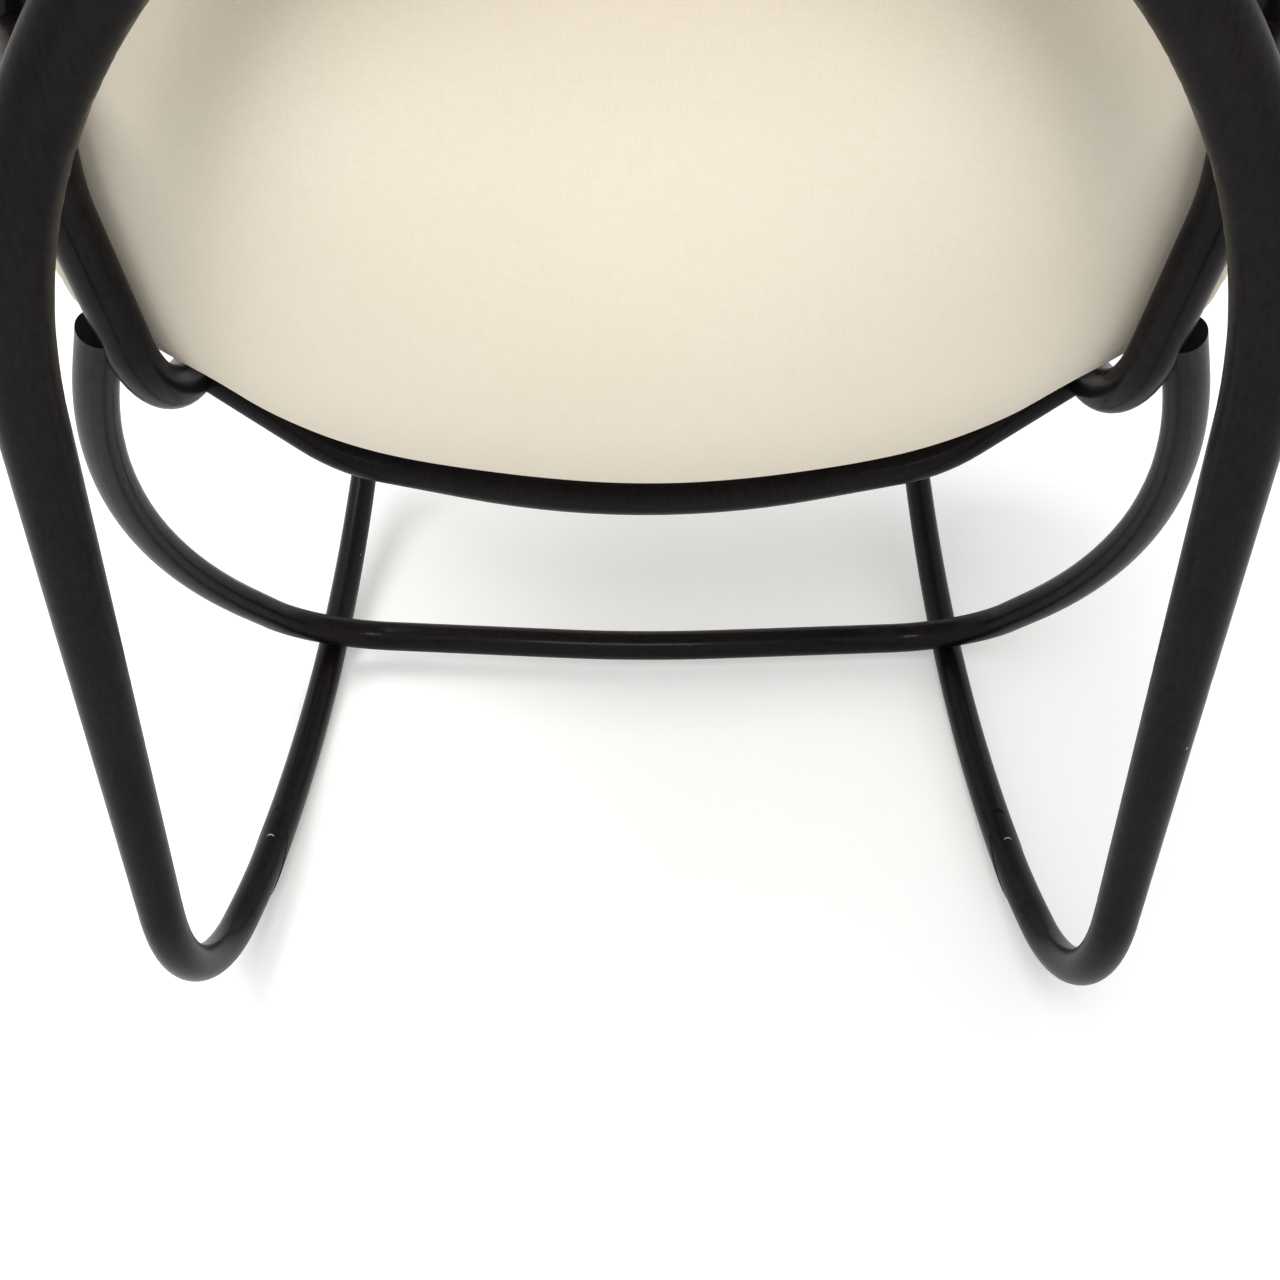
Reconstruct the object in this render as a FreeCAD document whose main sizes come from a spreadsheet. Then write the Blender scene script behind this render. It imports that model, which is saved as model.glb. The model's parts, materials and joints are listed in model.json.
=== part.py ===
import FreeCAD, Part
import Sketcher
import math
import os

# Rocking lounge chair in bent wood with a dished upholstered seat.
# The origin is on the floor, midway between the two points where the runners touch it.
# +X is the sitter's left, the sitter faces -Y and +Z is up. Lengths are in millimetres, angles in degrees.

SIZES = {
    # Runners and the rear arch that continues them
    "frame_half_width": 285.0,
    "runner_diameter": 25.5,
    "rocker_radius": 930.0,
    "rocker_rear_angle": 13.8,
    "rocker_front_angle": 20.0,
    "rear_bend_radius": 125.0,
    "rear_flare": 5.0,
    "rear_run_radius": 700.0,
    "upright_forward_lean": 3.5,
    "upright_inward_lean": 2.3,
    "arch_height": 757.0,
    "arch_shoulder_diameter": 31.5,
    "arch_crown_diameter": 30.0,
    "scarf_angle_on_rocker": 9.5,
    "scarf_length": 90.0,
    "scarf_pin_diameter": 6.0,
    "scarf_pin_length": 16.0,
    "scarf_pin_spacing": 30.0,
    "front_bend_radius": 150.0,
    "front_leg_lean": 5.0,
    "front_leg_rise_past_rod": 15.0,
    # Seat rods, stiles and the top of the back frame
    "seat_rod_diameter": 27.0,
    "seat_rod_height": 407.0,
    "seat_rod_rear_half": 278.0,
    "seat_rod_front_overhang": 22.0,
    "rod_end_round": 4.0,
    "back_bend_radius": 85.0,
    "back_recline": 18.0,
    "stile_bend_rise": 160.0,
    "stile_bend_radius": 160.0,
    "stile_inward_lean": 11.0,
    "back_joint_rise": 330.0,
    "back_frame_rise": 512.0,
    "top_bend_radius": 150.0,
    "top_dowel_diameter": 12.0,
    "top_dowel_length": 60.0,
    # Rails between the seat rods
    "rail_diameter": 22.0,
    "rail_dowel_diameter": 8.0,
    "rail_dowel_length": 34.0,
    "rail_dowel_start": 4.0,
    "rear_rail_depth": 84.0,
    "rear_rail_end_drop": -3.0,
    "rear_rail_tilt": 20.3,
    "rear_rail_shoulder_half": 188.0,
    "rear_rail_shoulder_drop": 55.7,
    "rear_rail_shoulder_radius": 121.0,
    "rear_rail_middle_drop": 91.6,
    "rear_rail_middle_radius": 589.0,
    "front_rail_setback": 55.0,
    # Rear hoop across the runners
    "hoop_diameter": 26.5,
    "hoop_end_diameter": 25.0,
    "hoop_end_rise": 72.0,
    "hoop_end_outset": 10.8,
    "hoop_depth": 104.0,
    "hoop_tilt": 36.7,
    "hoop_shoulder_half": 384.5,
    "hoop_shoulder_rise": 295.0,
    "hoop_shoulder_share": 0.86,
    "hoop_corner_half": 301.0,
    "hoop_corner_drop": 10.0,
    "hoop_corner_radius": 91.0,
    "hoop_middle_drop": 8.2,
    "hoop_middle_back": 12.0,
    "hoop_middle_radius": 1200.0,
    # Fasteners
    "spacer_diameter": 22.0,
    "spacer_rise": 245.0,
    "bolt_diameter": 6.0,
    "bolt_head_diameter": 13.0,
    "bolt_head_height": 4.0,
    "bolt_head_sink": 1.5,
    "insert_diameter": 9.0,
    "insert_length": 11.0,
    "nut_width": 10.0,
    "nut_height": 5.0,
    "washer_diameter": 14.0,
    "washer_thickness": 1.2,
    "screw_diameter": 5.0,
    "screw_head_diameter": 9.5,
    "screw_head_height": 3.0,
    "screw_head_sink": 2.5,
    "hoop_screw_length": 46.0,
    "hoop_screw_reach": 25.0,
    "runner_screw_length": 32.0,
    "plug_length": 3.5,
    "front_screw_setback": 110.0,
    "middle_screw_setback": 235.0,
    "rear_screw_setback": 360.0,
    "tee_nut_diameter": 20.0,
    "tee_nut_flange": 1.4,
    "tee_nut_lift": 0.2,
    "tee_nut_barrel_diameter": 8.0,
    # Upholstered shell
    "pad_seat_half": 328.0,
    "pad_waist_half": 320.0,
    "pad_waist_edge": 20.0,
    "bend_spacing": 50.0,
    "pad_back_half": 318.0,
    "pad_back_half_rise": 250.0,
    "pad_upper_half": 268.0,
    "pad_front_overhang": 42.0,
    "pad_top_overhang": 40.0,
    "pad_nose_length": 75.0,
    "pad_corner_draw": 48.0,
    "pad_nose_share": 0.55,
    "pad_seat_thickness": 66.0,
    "pad_back_thickness": 50.0,
    "pad_edge_thickness": 30.0,
    "pad_side_draw": 4.0,
    "pad_flattest_radius": 1500.0,
    "drop_front": 32.0,
    "drop_waist": 54.5,
    "drop_crown": 3.8,
    "shell_thickness": 8.0,
    "shell_setback": 6.0,
    "cover_thickness": 1.6,
    # Clearances
    "lap_clearance": 0.3,
    "arch_clearance": 0.4,
    "pad_clearance": 0.8,
    "rail_clearance": 1.5,
    "bend_clearance": 2.5,
    "layer_clearance": 0.5,
    "seam_clearance": 0.2,
    "foam_clearance": 2.5,
    "hole_clearance": 0.2,
    "cope_clearance": 0.2,
}

MERGE_LENGTH = 1e-4
END_EDGE_REACH = 0.5
HOOP_SETTLING_STEPS = 8

# Places of the cross-sections of the pad, as shares of its edges, of the flat seat and of the flat back
NOSE_SHARES = (0.0, 0.1, 0.35, 1.0)
SEAT_SHARES = (0.35, 0.7, 1.0)
BACK_SHARES = (0.0, 0.2, 0.42, 0.65, 0.82)

doc = FreeCAD.newDocument("rocking_lounge_chair")
sheet = doc.addObject("Spreadsheet::Sheet", "Sizes")
for row, (alias, number) in enumerate(SIZES.items(), start=1):
    sheet.set("A%d" % row, alias)
    sheet.set("B%d" % row, str(number))
    sheet.setAlias("B%d" % row, alias)
doc.recompute()

nodes = {}


def size(alias):
    return float(sheet.get(alias))


def vec(x, y, z):
    return FreeCAD.Vector(x, y, z)


def unit(vector):
    return FreeCAD.Vector(vector).normalize()


def sin(angle):
    return math.sin(math.radians(angle))


def cos(angle):
    return math.cos(math.radians(angle))


def tan(angle):
    return math.tan(math.radians(angle))


def angle_between(first, second):
    return math.degrees(first.getAngle(second))


def mirrored(point):
    return vec(-point.x, point.y, point.z)


def facing(start, direction):
    """Placement that stands a piece made along +Z at start, pointing along direction."""
    return FreeCAD.Placement(start, FreeCAD.Rotation(vec(0, 0, 1), direction))


def rounded_path(points, radii):
    """Straight runs through the points, with a tangent arc of its own radius at each inner point."""
    edges = []
    run_start = points[0]
    for before, corner, after, radius in zip(points, points[1:], points[2:], radii):
        back = unit(before - corner)
        ahead = unit(after - corner)
        half_turn = (180.0 - angle_between(back, ahead)) / 2.0
        reach = radius * tan(half_turn)
        arc_start = corner + back * reach
        arc_end = corner + ahead * reach
        arc_middle = corner + unit(back + ahead) * (radius / cos(half_turn) - radius)
        if (arc_start - run_start).Length > MERGE_LENGTH:
            edges.append(Part.LineSegment(run_start, arc_start).toShape())
        edges.append(Part.Arc(arc_start, arc_middle, arc_end).toShape())
        run_start = arc_end
    if (points[-1] - run_start).Length > MERGE_LENGTH:
        edges.append(Part.LineSegment(run_start, points[-1]).toShape())
    return Part.Wire(edges)


def add(kind, name):
    return doc.addObject(kind, name)


def swept_rod(name, wire, stations):
    """Round rod along a wire. Each station is an edge number, its end (0 or 1) and a radius expression."""
    path = add("Part::Feature", name + "_path")
    path.Shape = wire
    sections = []
    for edge_number, end, radius in stations:
        edge = wire.Edges[edge_number]
        parameter = edge.LastParameter if end else edge.FirstParameter
        section = add("Part::Circle", name + "_section")
        section.setExpression("Radius", radius)
        section.Placement = facing(edge.valueAt(parameter), edge.tangentAt(parameter))
        sections.append(section)
    rod = add("Part::Sweep", name + "_sweep")
    rod.Sections = sections
    rod.Spine = (path, ["Edge%d" % (number + 1) for number in range(len(wire.Edges))])
    rod.Solid = True
    rod.Frenet = False
    doc.recompute()
    return rod


def drill(name, radius, length, start, direction):
    """Cylinder whose sizes are expressions, standing at start along direction."""
    tool = add("Part::Cylinder", name)
    tool.setExpression("Radius", radius)
    tool.setExpression("Height", length)
    tool.Placement = facing(start, direction)
    return tool


def fused(name, pieces):
    if len(pieces) == 1:
        return pieces[0]
    joined = add("Part::MultiFuse", name)
    joined.Shapes = pieces
    joined.Refine = True
    return joined


def cut(name, base, tools):
    result = add("Part::Cut", name)
    result.Base = base
    result.Tool = fused(name + "_tools", tools)
    doc.recompute()
    return result


def mirror(name, source):
    twin = add("Part::Mirroring", name)
    twin.Source = source
    twin.Normal = vec(1, 0, 0)
    return twin


def group(name, pieces):
    together = add("Part::Compound", name)
    together.Links = pieces
    return together


def node(label, piece):
    piece.Label = label
    nodes[label] = piece
    return piece


def end_edge(shape, point):
    """Number of the closed edge whose middle lies at point."""
    for number, edge in enumerate(shape.Edges, start=1):
        if edge.isClosed() and (edge.CenterOfMass - point).Length < END_EDGE_REACH:
            return number
    raise ValueError("no end edge near %s" % point)


def rounded_end(name, rod, point, radius):
    rounding = add("Part::Fillet", name)
    rounding.Base = rod
    rounding.Edges = [(end_edge(rod.Shape, point), radius, radius)]
    doc.recompute()
    return rounding


def body_plane(body, role):
    for feature in body.Origin.OriginFeatures:
        if feature.Role == role:
            return feature
    raise ValueError(role)


def circle_pad(body, name, radius, start, length):
    """Round boss on the body's axis: radius, start height and length are expressions."""
    sketch = body.newObject("Sketcher::SketchObject", name + "_circle")
    sketch.AttachmentSupport = [(body_plane(body, "XY_Plane"), "")]
    sketch.MapMode = "FlatFace"
    sketch.addGeometry(Part.Circle(vec(0, 0, 0), vec(0, 0, 1), 1.0), False)
    sketch.addConstraint(Sketcher.Constraint("Coincident", 0, 3, -1, 1))
    radius_constraint = sketch.addConstraint(Sketcher.Constraint("Radius", 0, 1.0))
    sketch.setExpression("Constraints[%d]" % radius_constraint, radius)
    sketch.setExpression("AttachmentOffset.Base.z", start)
    boss = body.newObject("PartDesign::Pad", name)
    boss.Profile = sketch
    boss.setExpression("Length", length)
    doc.recompute()
    return boss


def headed_pin(name, shank_radius, shank_length, head_radius, head_height):
    """Pin along +Z whose head lies below the origin."""
    body = add("PartDesign::Body", name)
    whole_length = "%s + %s" % (shank_length, head_height)
    circle_pad(body, name + "_shank", shank_radius, "-(%s)" % head_height, whole_length)
    circle_pad(body, name + "_head", head_radius, "-(%s)" % head_height, head_height)
    return body


def plain_pin(name, radius, length):
    body = add("PartDesign::Body", name)
    circle_pad(body, name + "_pin", radius, "0", length)
    return body


def copies(name, source, placements):
    """Group of separate solids, one copy of the source at each placement."""
    pieces = []
    for placement in placements:
        piece = add("Part::Feature", name + "_copy")
        piece.Shape = source.Shape
        piece.Placement = placement
        pieces.append(piece)
    return group(name, pieces)


def both_sides(placements):
    """The placements and their mirror images for pieces that are round about their own axis."""
    result = []
    for start, direction in placements:
        result.append(facing(start, direction))
        result.append(facing(mirrored(start), mirrored(direction)))
    return result


# Side view of the runner: angles are measured from the lowest point, positive to the rear.
runner_radius = size("runner_diameter") / 2.0
rocker_radius = size("rocker_radius")
frame_half = size("frame_half_width")


def on_rocker(angle):
    return vec(frame_half, rocker_radius * sin(angle), runner_radius + rocker_radius * (1.0 - cos(angle)))


def along_rocker(angle):
    return vec(0, cos(angle), sin(angle))


def rocker_corner(start_angle, end_angle):
    """Where the tangents at two angles of the rocker meet."""
    middle = (start_angle + end_angle) / 2.0
    reach = rocker_radius / cos((end_angle - start_angle) / 2.0)
    return vec(frame_half, reach * sin(middle), runner_radius + rocker_radius - reach * cos(middle))


scarf_angle = size("scarf_angle_on_rocker")
scarf_half_turn = math.degrees(size("scarf_length") / 2.0 / rocker_radius)
seat_height = size("seat_rod_height")
seat_radius = size("seat_rod_diameter") / 2.0

# Front leg: the runner bends up and laps the outside of the seat rod.
front_angle = -size("rocker_front_angle")
leg_direction = vec(0, sin(size("front_leg_lean")), cos(size("front_leg_lean")))
front_turn = angle_between(along_rocker(front_angle) * -1.0, leg_direction)
front_corner = on_rocker(front_angle) - along_rocker(front_angle) * (
    size("front_bend_radius") * tan(front_turn / 2.0))
leg_joint = front_corner + leg_direction * ((seat_height - front_corner.z) / leg_direction.z)
leg_top = leg_joint + leg_direction * size("front_leg_rise_past_rod")
runner_end_angle = scarf_angle + scarf_half_turn
runner_wire = rounded_path(
    [leg_top, front_corner, rocker_corner(front_angle, runner_end_angle), on_rocker(runner_end_angle)],
    [size("front_bend_radius"), rocker_radius])

# Rear arch: half of it, from the scarf over the rear bend and up to the middle of the crown.
rear_angle = size("rocker_rear_angle")
forward_lean = size("upright_forward_lean")
inward_lean = size("upright_inward_lean")
arch_up = vec(0, -sin(forward_lean), cos(forward_lean))
upright_direction = arch_up * cos(inward_lean) - vec(1, 0, 0) * sin(inward_lean)
rear_turn = angle_between(along_rocker(rear_angle), upright_direction)
rear_corner = on_rocker(rear_angle) + along_rocker(rear_angle) * (
    size("rear_bend_radius") * tan(rear_turn / 2.0)) + vec(size("rear_flare"), 0, 0)
upright_length = (size("arch_height") - rear_corner.z) / upright_direction.z
arch_corner = rear_corner + upright_direction * upright_length
crown = vec(0, arch_corner.y, arch_corner.z)
arch_turn = 90.0 - inward_lean
arch_radius = (arch_corner - crown).Length / tan(arch_turn / 2.0)
arch_start_angle = scarf_angle - scarf_half_turn
arch_wire = rounded_path(
    [on_rocker(arch_start_angle), rocker_corner(arch_start_angle, rear_angle), rear_corner,
     arch_corner, crown],
    [size("rear_run_radius"), size("rear_bend_radius"), arch_radius])

# Seat rod and stile in one bent rod. The front end lies beside the front leg, and the back leans on the crown
# of the arch.
seat_front_half = frame_half - runner_radius - seat_radius - size("lap_clearance")
recline = size("back_recline")
back_up = vec(0, sin(recline), cos(recline))
crown_gap = size("arch_crown_diameter") / 2.0 + size("arch_clearance") + size("drop_crown")
back_depth = crown.y - (crown.z - seat_height) * tan(recline) - crown_gap / cos(recline)
back_corner = vec(size("seat_rod_rear_half"), back_depth, seat_height)
seat_joint = vec(seat_front_half, leg_joint.y, seat_height)
seat_forward = unit(seat_joint - back_corner)
seat_front = seat_joint + seat_forward * size("seat_rod_front_overhang")
stile_direction = back_up * cos(size("stile_inward_lean")) - vec(1, 0, 0) * sin(size("stile_inward_lean"))
stile_corner = back_corner + back_up * size("stile_bend_rise")


def on_stile(rise):
    """Centre of the leaning stile at a rise above the back corner, measured up the back."""
    past_bend = (rise - size("stile_bend_rise")) / cos(size("stile_inward_lean"))
    return stile_corner + stile_direction * past_bend


back_joint = on_stile(size("back_joint_rise"))
bend_radius = size("back_bend_radius")
bend_turn = 90.0 - recline
bend_reach = bend_radius * tan(bend_turn / 2.0)
bend_centre = vec(0, back_corner.y - bend_reach, seat_height + bend_radius)
seat_rod_wire = rounded_path(
    [seat_front, back_corner, stile_corner, back_joint],
    [bend_radius, size("stile_bend_radius")])
top_corner = on_stile(size("back_frame_rise"))
top_hoop_wire = rounded_path(
    [back_joint, top_corner, mirrored(top_corner), mirrored(back_joint)],
    [size("top_bend_radius"), size("top_bend_radius")])

# Rear rail: bowed down between the seat rods where they begin to turn up.
rail_down = vec(0, sin(size("rear_rail_tilt")), -cos(size("rear_rail_tilt")))
rear_rail_share = (back_corner.y - size("rear_rail_depth")) / (back_corner.y - seat_joint.y)
rear_rail_end = back_corner + (seat_joint - back_corner) * rear_rail_share
rear_rail_middle = vec(0, rear_rail_end.y, rear_rail_end.z)
rear_rail_end = rear_rail_end - vec(0, 0, size("rear_rail_end_drop"))
rail_shoulder = rear_rail_middle + rail_down * size("rear_rail_shoulder_drop") + vec(
    size("rear_rail_shoulder_half"), 0, 0)
rail_bottom = rear_rail_middle + rail_down * size("rear_rail_middle_drop")
rear_rail_wire = rounded_path(
    [rear_rail_end, rail_shoulder, rail_bottom, mirrored(rail_shoulder), mirrored(rear_rail_end)],
    [size("rear_rail_shoulder_radius"), size("rear_rail_middle_radius"), size("rear_rail_shoulder_radius")])
front_rail_end = seat_joint - seat_forward * size("front_rail_setback")
front_rail_share = size("front_rail_setback") / (bend_centre.y - leg_joint.y)
front_rail_drop = size("drop_front") + (size("drop_waist") - size("drop_front")) * front_rail_share
front_rail_sag = front_rail_drop + size("rail_diameter") / 2.0 + size("rail_clearance")
front_rail_bottom = vec(0, front_rail_end.y, front_rail_end.z - front_rail_sag)
front_rail_wire = Part.Wire([Part.Arc(front_rail_end, front_rail_bottom, mirrored(front_rail_end)).toShape()])

# Rear hoop: half of it, from the stile down to the middle between the runners.
hoop_up = vec(0, sin(size("hoop_tilt")), cos(size("hoop_tilt")))
hoop_radius = size("hoop_diameter") / 2.0
hoop_stile = back_corner + back_up * size("hoop_end_rise")


def hoop_path(base_height):
    base = vec(0, -size("hoop_depth"), base_height)
    shoulder = base + hoop_up * size("hoop_shoulder_rise") + vec(size("hoop_shoulder_half"), 0, 0)
    corner = base - hoop_up * size("hoop_corner_drop") + vec(size("hoop_corner_half"), 0, 0)
    bottom = base + vec(0, size("hoop_middle_back"), -size("hoop_middle_drop"))
    end = hoop_stile + vec(size("hoop_end_outset"), 0, 0)
    shoulder_turn = angle_between(shoulder - end, corner - shoulder)
    shoulder_run = size("hoop_shoulder_share") * (shoulder - end).Length
    rising = rounded_path(
        [end, shoulder, corner, bottom, mirrored(corner)],
        [shoulder_run / tan(shoulder_turn / 2.0), size("hoop_corner_radius"), size("hoop_middle_radius")])
    half_length = rising.Edges[-2].Length / 2.0
    last_arc = rising.Edges[-2]
    middle = last_arc.valueAt(last_arc.getParameterByLength(half_length))
    first_point = last_arc.valueAt(last_arc.FirstParameter)
    between = last_arc.valueAt(last_arc.getParameterByLength(half_length / 2.0))
    return Part.Wire(rising.Edges[:-2] + [Part.Arc(first_point, between, middle).toShape()])


hoop_base = size("runner_diameter") + hoop_radius
hoop_wire = hoop_path(hoop_base)
hoop_rest = runner_radius + hoop_radius + size("lap_clearance")
for step in range(HOOP_SETTLING_STEPS):
    gap = hoop_wire.distToShape(runner_wire)[0] - hoop_rest
    hoop_base -= gap
    hoop_wire = hoop_path(hoop_base)

# Bent rods before they are cut and bored
runner_rod = swept_rod("runner", runner_wire, [(0, 0, "Sizes.runner_diameter / 2")])
crown_edge = len(arch_wire.Edges) - 1
half_arch_rod = swept_rod("half_arch", arch_wire, [
    (0, 0, "Sizes.runner_diameter / 2"),
    (crown_edge - 2, 1, "Sizes.runner_diameter / 2"),
    (crown_edge - 1, 1, "Sizes.arch_shoulder_diameter / 2"),
    (crown_edge, 1, "Sizes.arch_crown_diameter / 2")])
seat_rod = swept_rod("seat_rod", seat_rod_wire, [(0, 0, "Sizes.seat_rod_diameter / 2")])
top_rod = swept_rod("top", top_hoop_wire, [(0, 0, "Sizes.seat_rod_diameter / 2")])
rear_rail_rod = swept_rod("rear_rail_rod", rear_rail_wire, [(0, 0, "Sizes.rail_diameter / 2")])
front_rail_rod = swept_rod("front_rail_rod", front_rail_wire, [(0, 0, "Sizes.rail_diameter / 2")])
hoop_last_edge = len(hoop_wire.Edges) - 1
half_hoop_rod = swept_rod("half_hoop", hoop_wire, [
    (0, 0, "Sizes.hoop_end_diameter / 2"),
    (hoop_last_edge - 1, 0, "Sizes.hoop_diameter / 2"),
    (hoop_last_edge, 1, "Sizes.hoop_diameter / 2")])

# The same rods a little thicker, which hollow the ends of the pieces that butt against them
cope = swept_rod("cope", seat_rod_wire, [(0, 0, "Sizes.seat_rod_diameter / 2 + Sizes.cope_clearance")])
cope_twin = mirror("cope_twin", cope)
arch_cope = swept_rod("arch_cope", arch_wire, [
    (0, 0, "Sizes.runner_diameter / 2 + Sizes.cope_clearance"),
    (crown_edge - 2, 1, "Sizes.runner_diameter / 2 + Sizes.cope_clearance"),
    (crown_edge - 1, 1, "Sizes.arch_shoulder_diameter / 2 + Sizes.cope_clearance"),
    (crown_edge, 1, "Sizes.arch_crown_diameter / 2 + Sizes.cope_clearance")])

# Scarf between the runner and the arch: one slanting plane, with two hidden pins across it
scarf_point = on_rocker(scarf_angle)
scarf_slope = math.degrees(math.atan(size("runner_diameter") / size("scarf_length")))
scarf_along = along_rocker(scarf_angle - scarf_slope)
scarf_up = vec(0, -scarf_along.z, scarf_along.y)
scarf_turn = FreeCAD.Rotation(vec(1, 0, 0), scarf_along, scarf_up, "XYZ")


def scarf_block(name, side):
    """Block whose face is the scarf plane, above it for side 1 and below it for side -1."""
    block = add("Part::Box", name)
    block.setExpression("Length", "Sizes.runner_diameter * 2")
    block.setExpression("Width", "Sizes.scarf_length * 2")
    block.setExpression("Height", "Sizes.scarf_length")
    lift = 0.0 if side > 0 else -size("scarf_length")
    corner = vec(-size("runner_diameter"), -size("scarf_length"), lift)
    block.Placement = FreeCAD.Placement(scarf_point + scarf_turn.multVec(corner), scarf_turn)
    return block


pin_radius = "Sizes.scarf_pin_diameter / 2"
pin_hole = "Sizes.scarf_pin_diameter / 2 + Sizes.hole_clearance"
pin_places = []
for side in (-1.0, 1.0):
    pin_middle = scarf_point + scarf_along * (side * size("scarf_pin_spacing") / 2.0)
    pin_places.append((pin_middle - scarf_up * (size("scarf_pin_length") / 2.0), scarf_up))


def pin_drills(name):
    drills = []
    for start, direction in pin_places:
        drills.append(drill(name, pin_hole, "Sizes.scarf_pin_length", start, direction))
    return drills


scarf_pin = plain_pin("scarf_pin", pin_radius, "Sizes.scarf_pin_length")
node("scarf_pins", copies("scarf_pin_set", scarf_pin, both_sides(pin_places)))

# Screw that holds the hoop down on the runner, driven from below under a plug
hoop_contact, runner_contact = hoop_wire.distToShape(runner_wire)[1][0]
hoop_normal = unit(hoop_contact - runner_contact)
screw_radius = "Sizes.screw_diameter / 2"
screw_hole = "Sizes.screw_diameter / 2 + Sizes.hole_clearance"
head_radius = "Sizes.screw_head_diameter / 2"
head_hole = "Sizes.screw_head_diameter / 2 + Sizes.hole_clearance"
runner_seat = runner_contact - hoop_normal * (
    runner_radius - size("plug_length") - size("screw_head_height"))
runner_screw = headed_pin("runner_screw", screw_radius, "Sizes.runner_screw_length",
                          head_radius, "Sizes.screw_head_height")
node("runner_screws", copies("runner_screw_set", runner_screw, both_sides([(runner_seat, hoop_normal)])))
plug_blank = drill("plug_blank", head_radius, "Sizes.plug_length + Sizes.runner_diameter",
                   runner_seat - hoop_normal * size("screw_head_height"), hoop_normal * -1.0)
plug = add("Part::Common", "plug")
plug.Base = runner_rod
plug.Tool = plug_blank
node("runner_plugs", group("plug_set", [plug, mirror("plug_twin", plug)]))


def runner_screw_drills(name):
    shank = drill(name + "_shank", screw_hole, "Sizes.runner_screw_length", runner_seat, hoop_normal)
    head = drill(name + "_head", head_hole, "Sizes.runner_diameter", runner_seat, hoop_normal * -1.0)
    return [shank, head]


# Bolt through the front leg and the seat rod
bolt_radius = "Sizes.bolt_diameter / 2"
bolt_hole = "Sizes.bolt_diameter / 2 + Sizes.hole_clearance"
inward = vec(-1, 0, 0)
leg_outside = leg_joint - inward * runner_radius
rod_inside = seat_joint + inward * (seat_radius + size("lap_clearance"))
washer_seats = [(leg_outside, inward * -1.0), (rod_inside, inward)]
bolt_start = leg_outside - inward * size("washer_thickness")
nut_start = rod_inside + inward * size("washer_thickness")
leg_bolt_length = "%f + Sizes.nut_height" % (bolt_start - nut_start).Length
leg_bolt = headed_pin("leg_bolt", bolt_radius, leg_bolt_length,
                      "Sizes.bolt_head_diameter / 2", "Sizes.bolt_head_height")
node("leg_bolts", copies("leg_bolt_set", leg_bolt, both_sides([(bolt_start, inward)])))
washer_disc = drill("washer_disc", "Sizes.washer_diameter / 2", "Sizes.washer_thickness",
                    vec(0, 0, 0), vec(0, 0, 1))
washer_bore = drill("washer_bore", bolt_hole, "Sizes.washer_thickness", vec(0, 0, 0), vec(0, 0, 1))
washer = cut("washer", washer_disc, [washer_bore])
node("leg_washers", copies("leg_washer_set", washer, both_sides(washer_seats)))
nut_prism = add("Part::Prism", "nut_prism")
nut_prism.Polygon = 6
nut_prism.setExpression("Circumradius", "Sizes.nut_width / 2 / cos(30)")
nut_prism.setExpression("Height", "Sizes.nut_height")
nut_bore = drill("nut_bore", bolt_hole, "Sizes.nut_height", vec(0, 0, 0), vec(0, 0, 1))
nut = cut("nut", nut_prism, [nut_bore])
node("leg_nuts", copies("leg_nut_set", nut, both_sides([(nut_start, inward)])))


def leg_bolt_drill(name):
    return drill(name, bolt_hole, "%f" % (2.0 * (bolt_start - nut_start).Length),
                 bolt_start - inward * size("bolt_head_height"), inward)


# Turned spacer between the stile and the arch, with a bolt from the hidden side of the stile
spacer_start = on_stile(size("spacer_rise"))
spacer_end = arch_wire.distToShape(Part.Vertex(spacer_start))[1][0][0]
spacer_way = unit(spacer_end - spacer_start)
spacer_span = (spacer_end - spacer_start).Length
insert_bottom = spacer_end - spacer_way * size("screw_head_sink")
insert_start = insert_bottom - spacer_way * size("insert_length")
back_bolt_seat = spacer_start - spacer_way * (
    seat_radius - size("bolt_head_sink") - size("bolt_head_height"))
back_bolt_length = "%f" % (insert_bottom - back_bolt_seat).Length
back_bolt = headed_pin("back_bolt", bolt_radius, back_bolt_length,
                       "Sizes.bolt_head_diameter / 2", "Sizes.bolt_head_height")
node("spacer_bolts", copies("spacer_bolt_set", back_bolt, both_sides([(back_bolt_seat, spacer_way)])))
spacer_blank = drill("spacer_blank", "Sizes.spacer_diameter / 2", "%f" % spacer_span,
                     spacer_start, spacer_way)
spacer_bore = drill("spacer_bore", bolt_hole, "%f" % spacer_span, spacer_start, spacer_way)
spacer = cut("spacer", spacer_blank, [spacer_bore, cope, arch_cope])
node("back_spacers", group("spacer_set", [spacer, mirror("spacer_twin", spacer)]))
insert_barrel = drill("insert_barrel", "Sizes.insert_diameter / 2", "Sizes.insert_length",
                      insert_start, spacer_way)
insert_bore = drill("insert_bore", bolt_hole, "Sizes.insert_length", insert_start, spacer_way)
insert = cut("insert", insert_barrel, [insert_bore])
node("arch_inserts", group("insert_set", [insert, mirror("insert_twin", insert)]))

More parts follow.
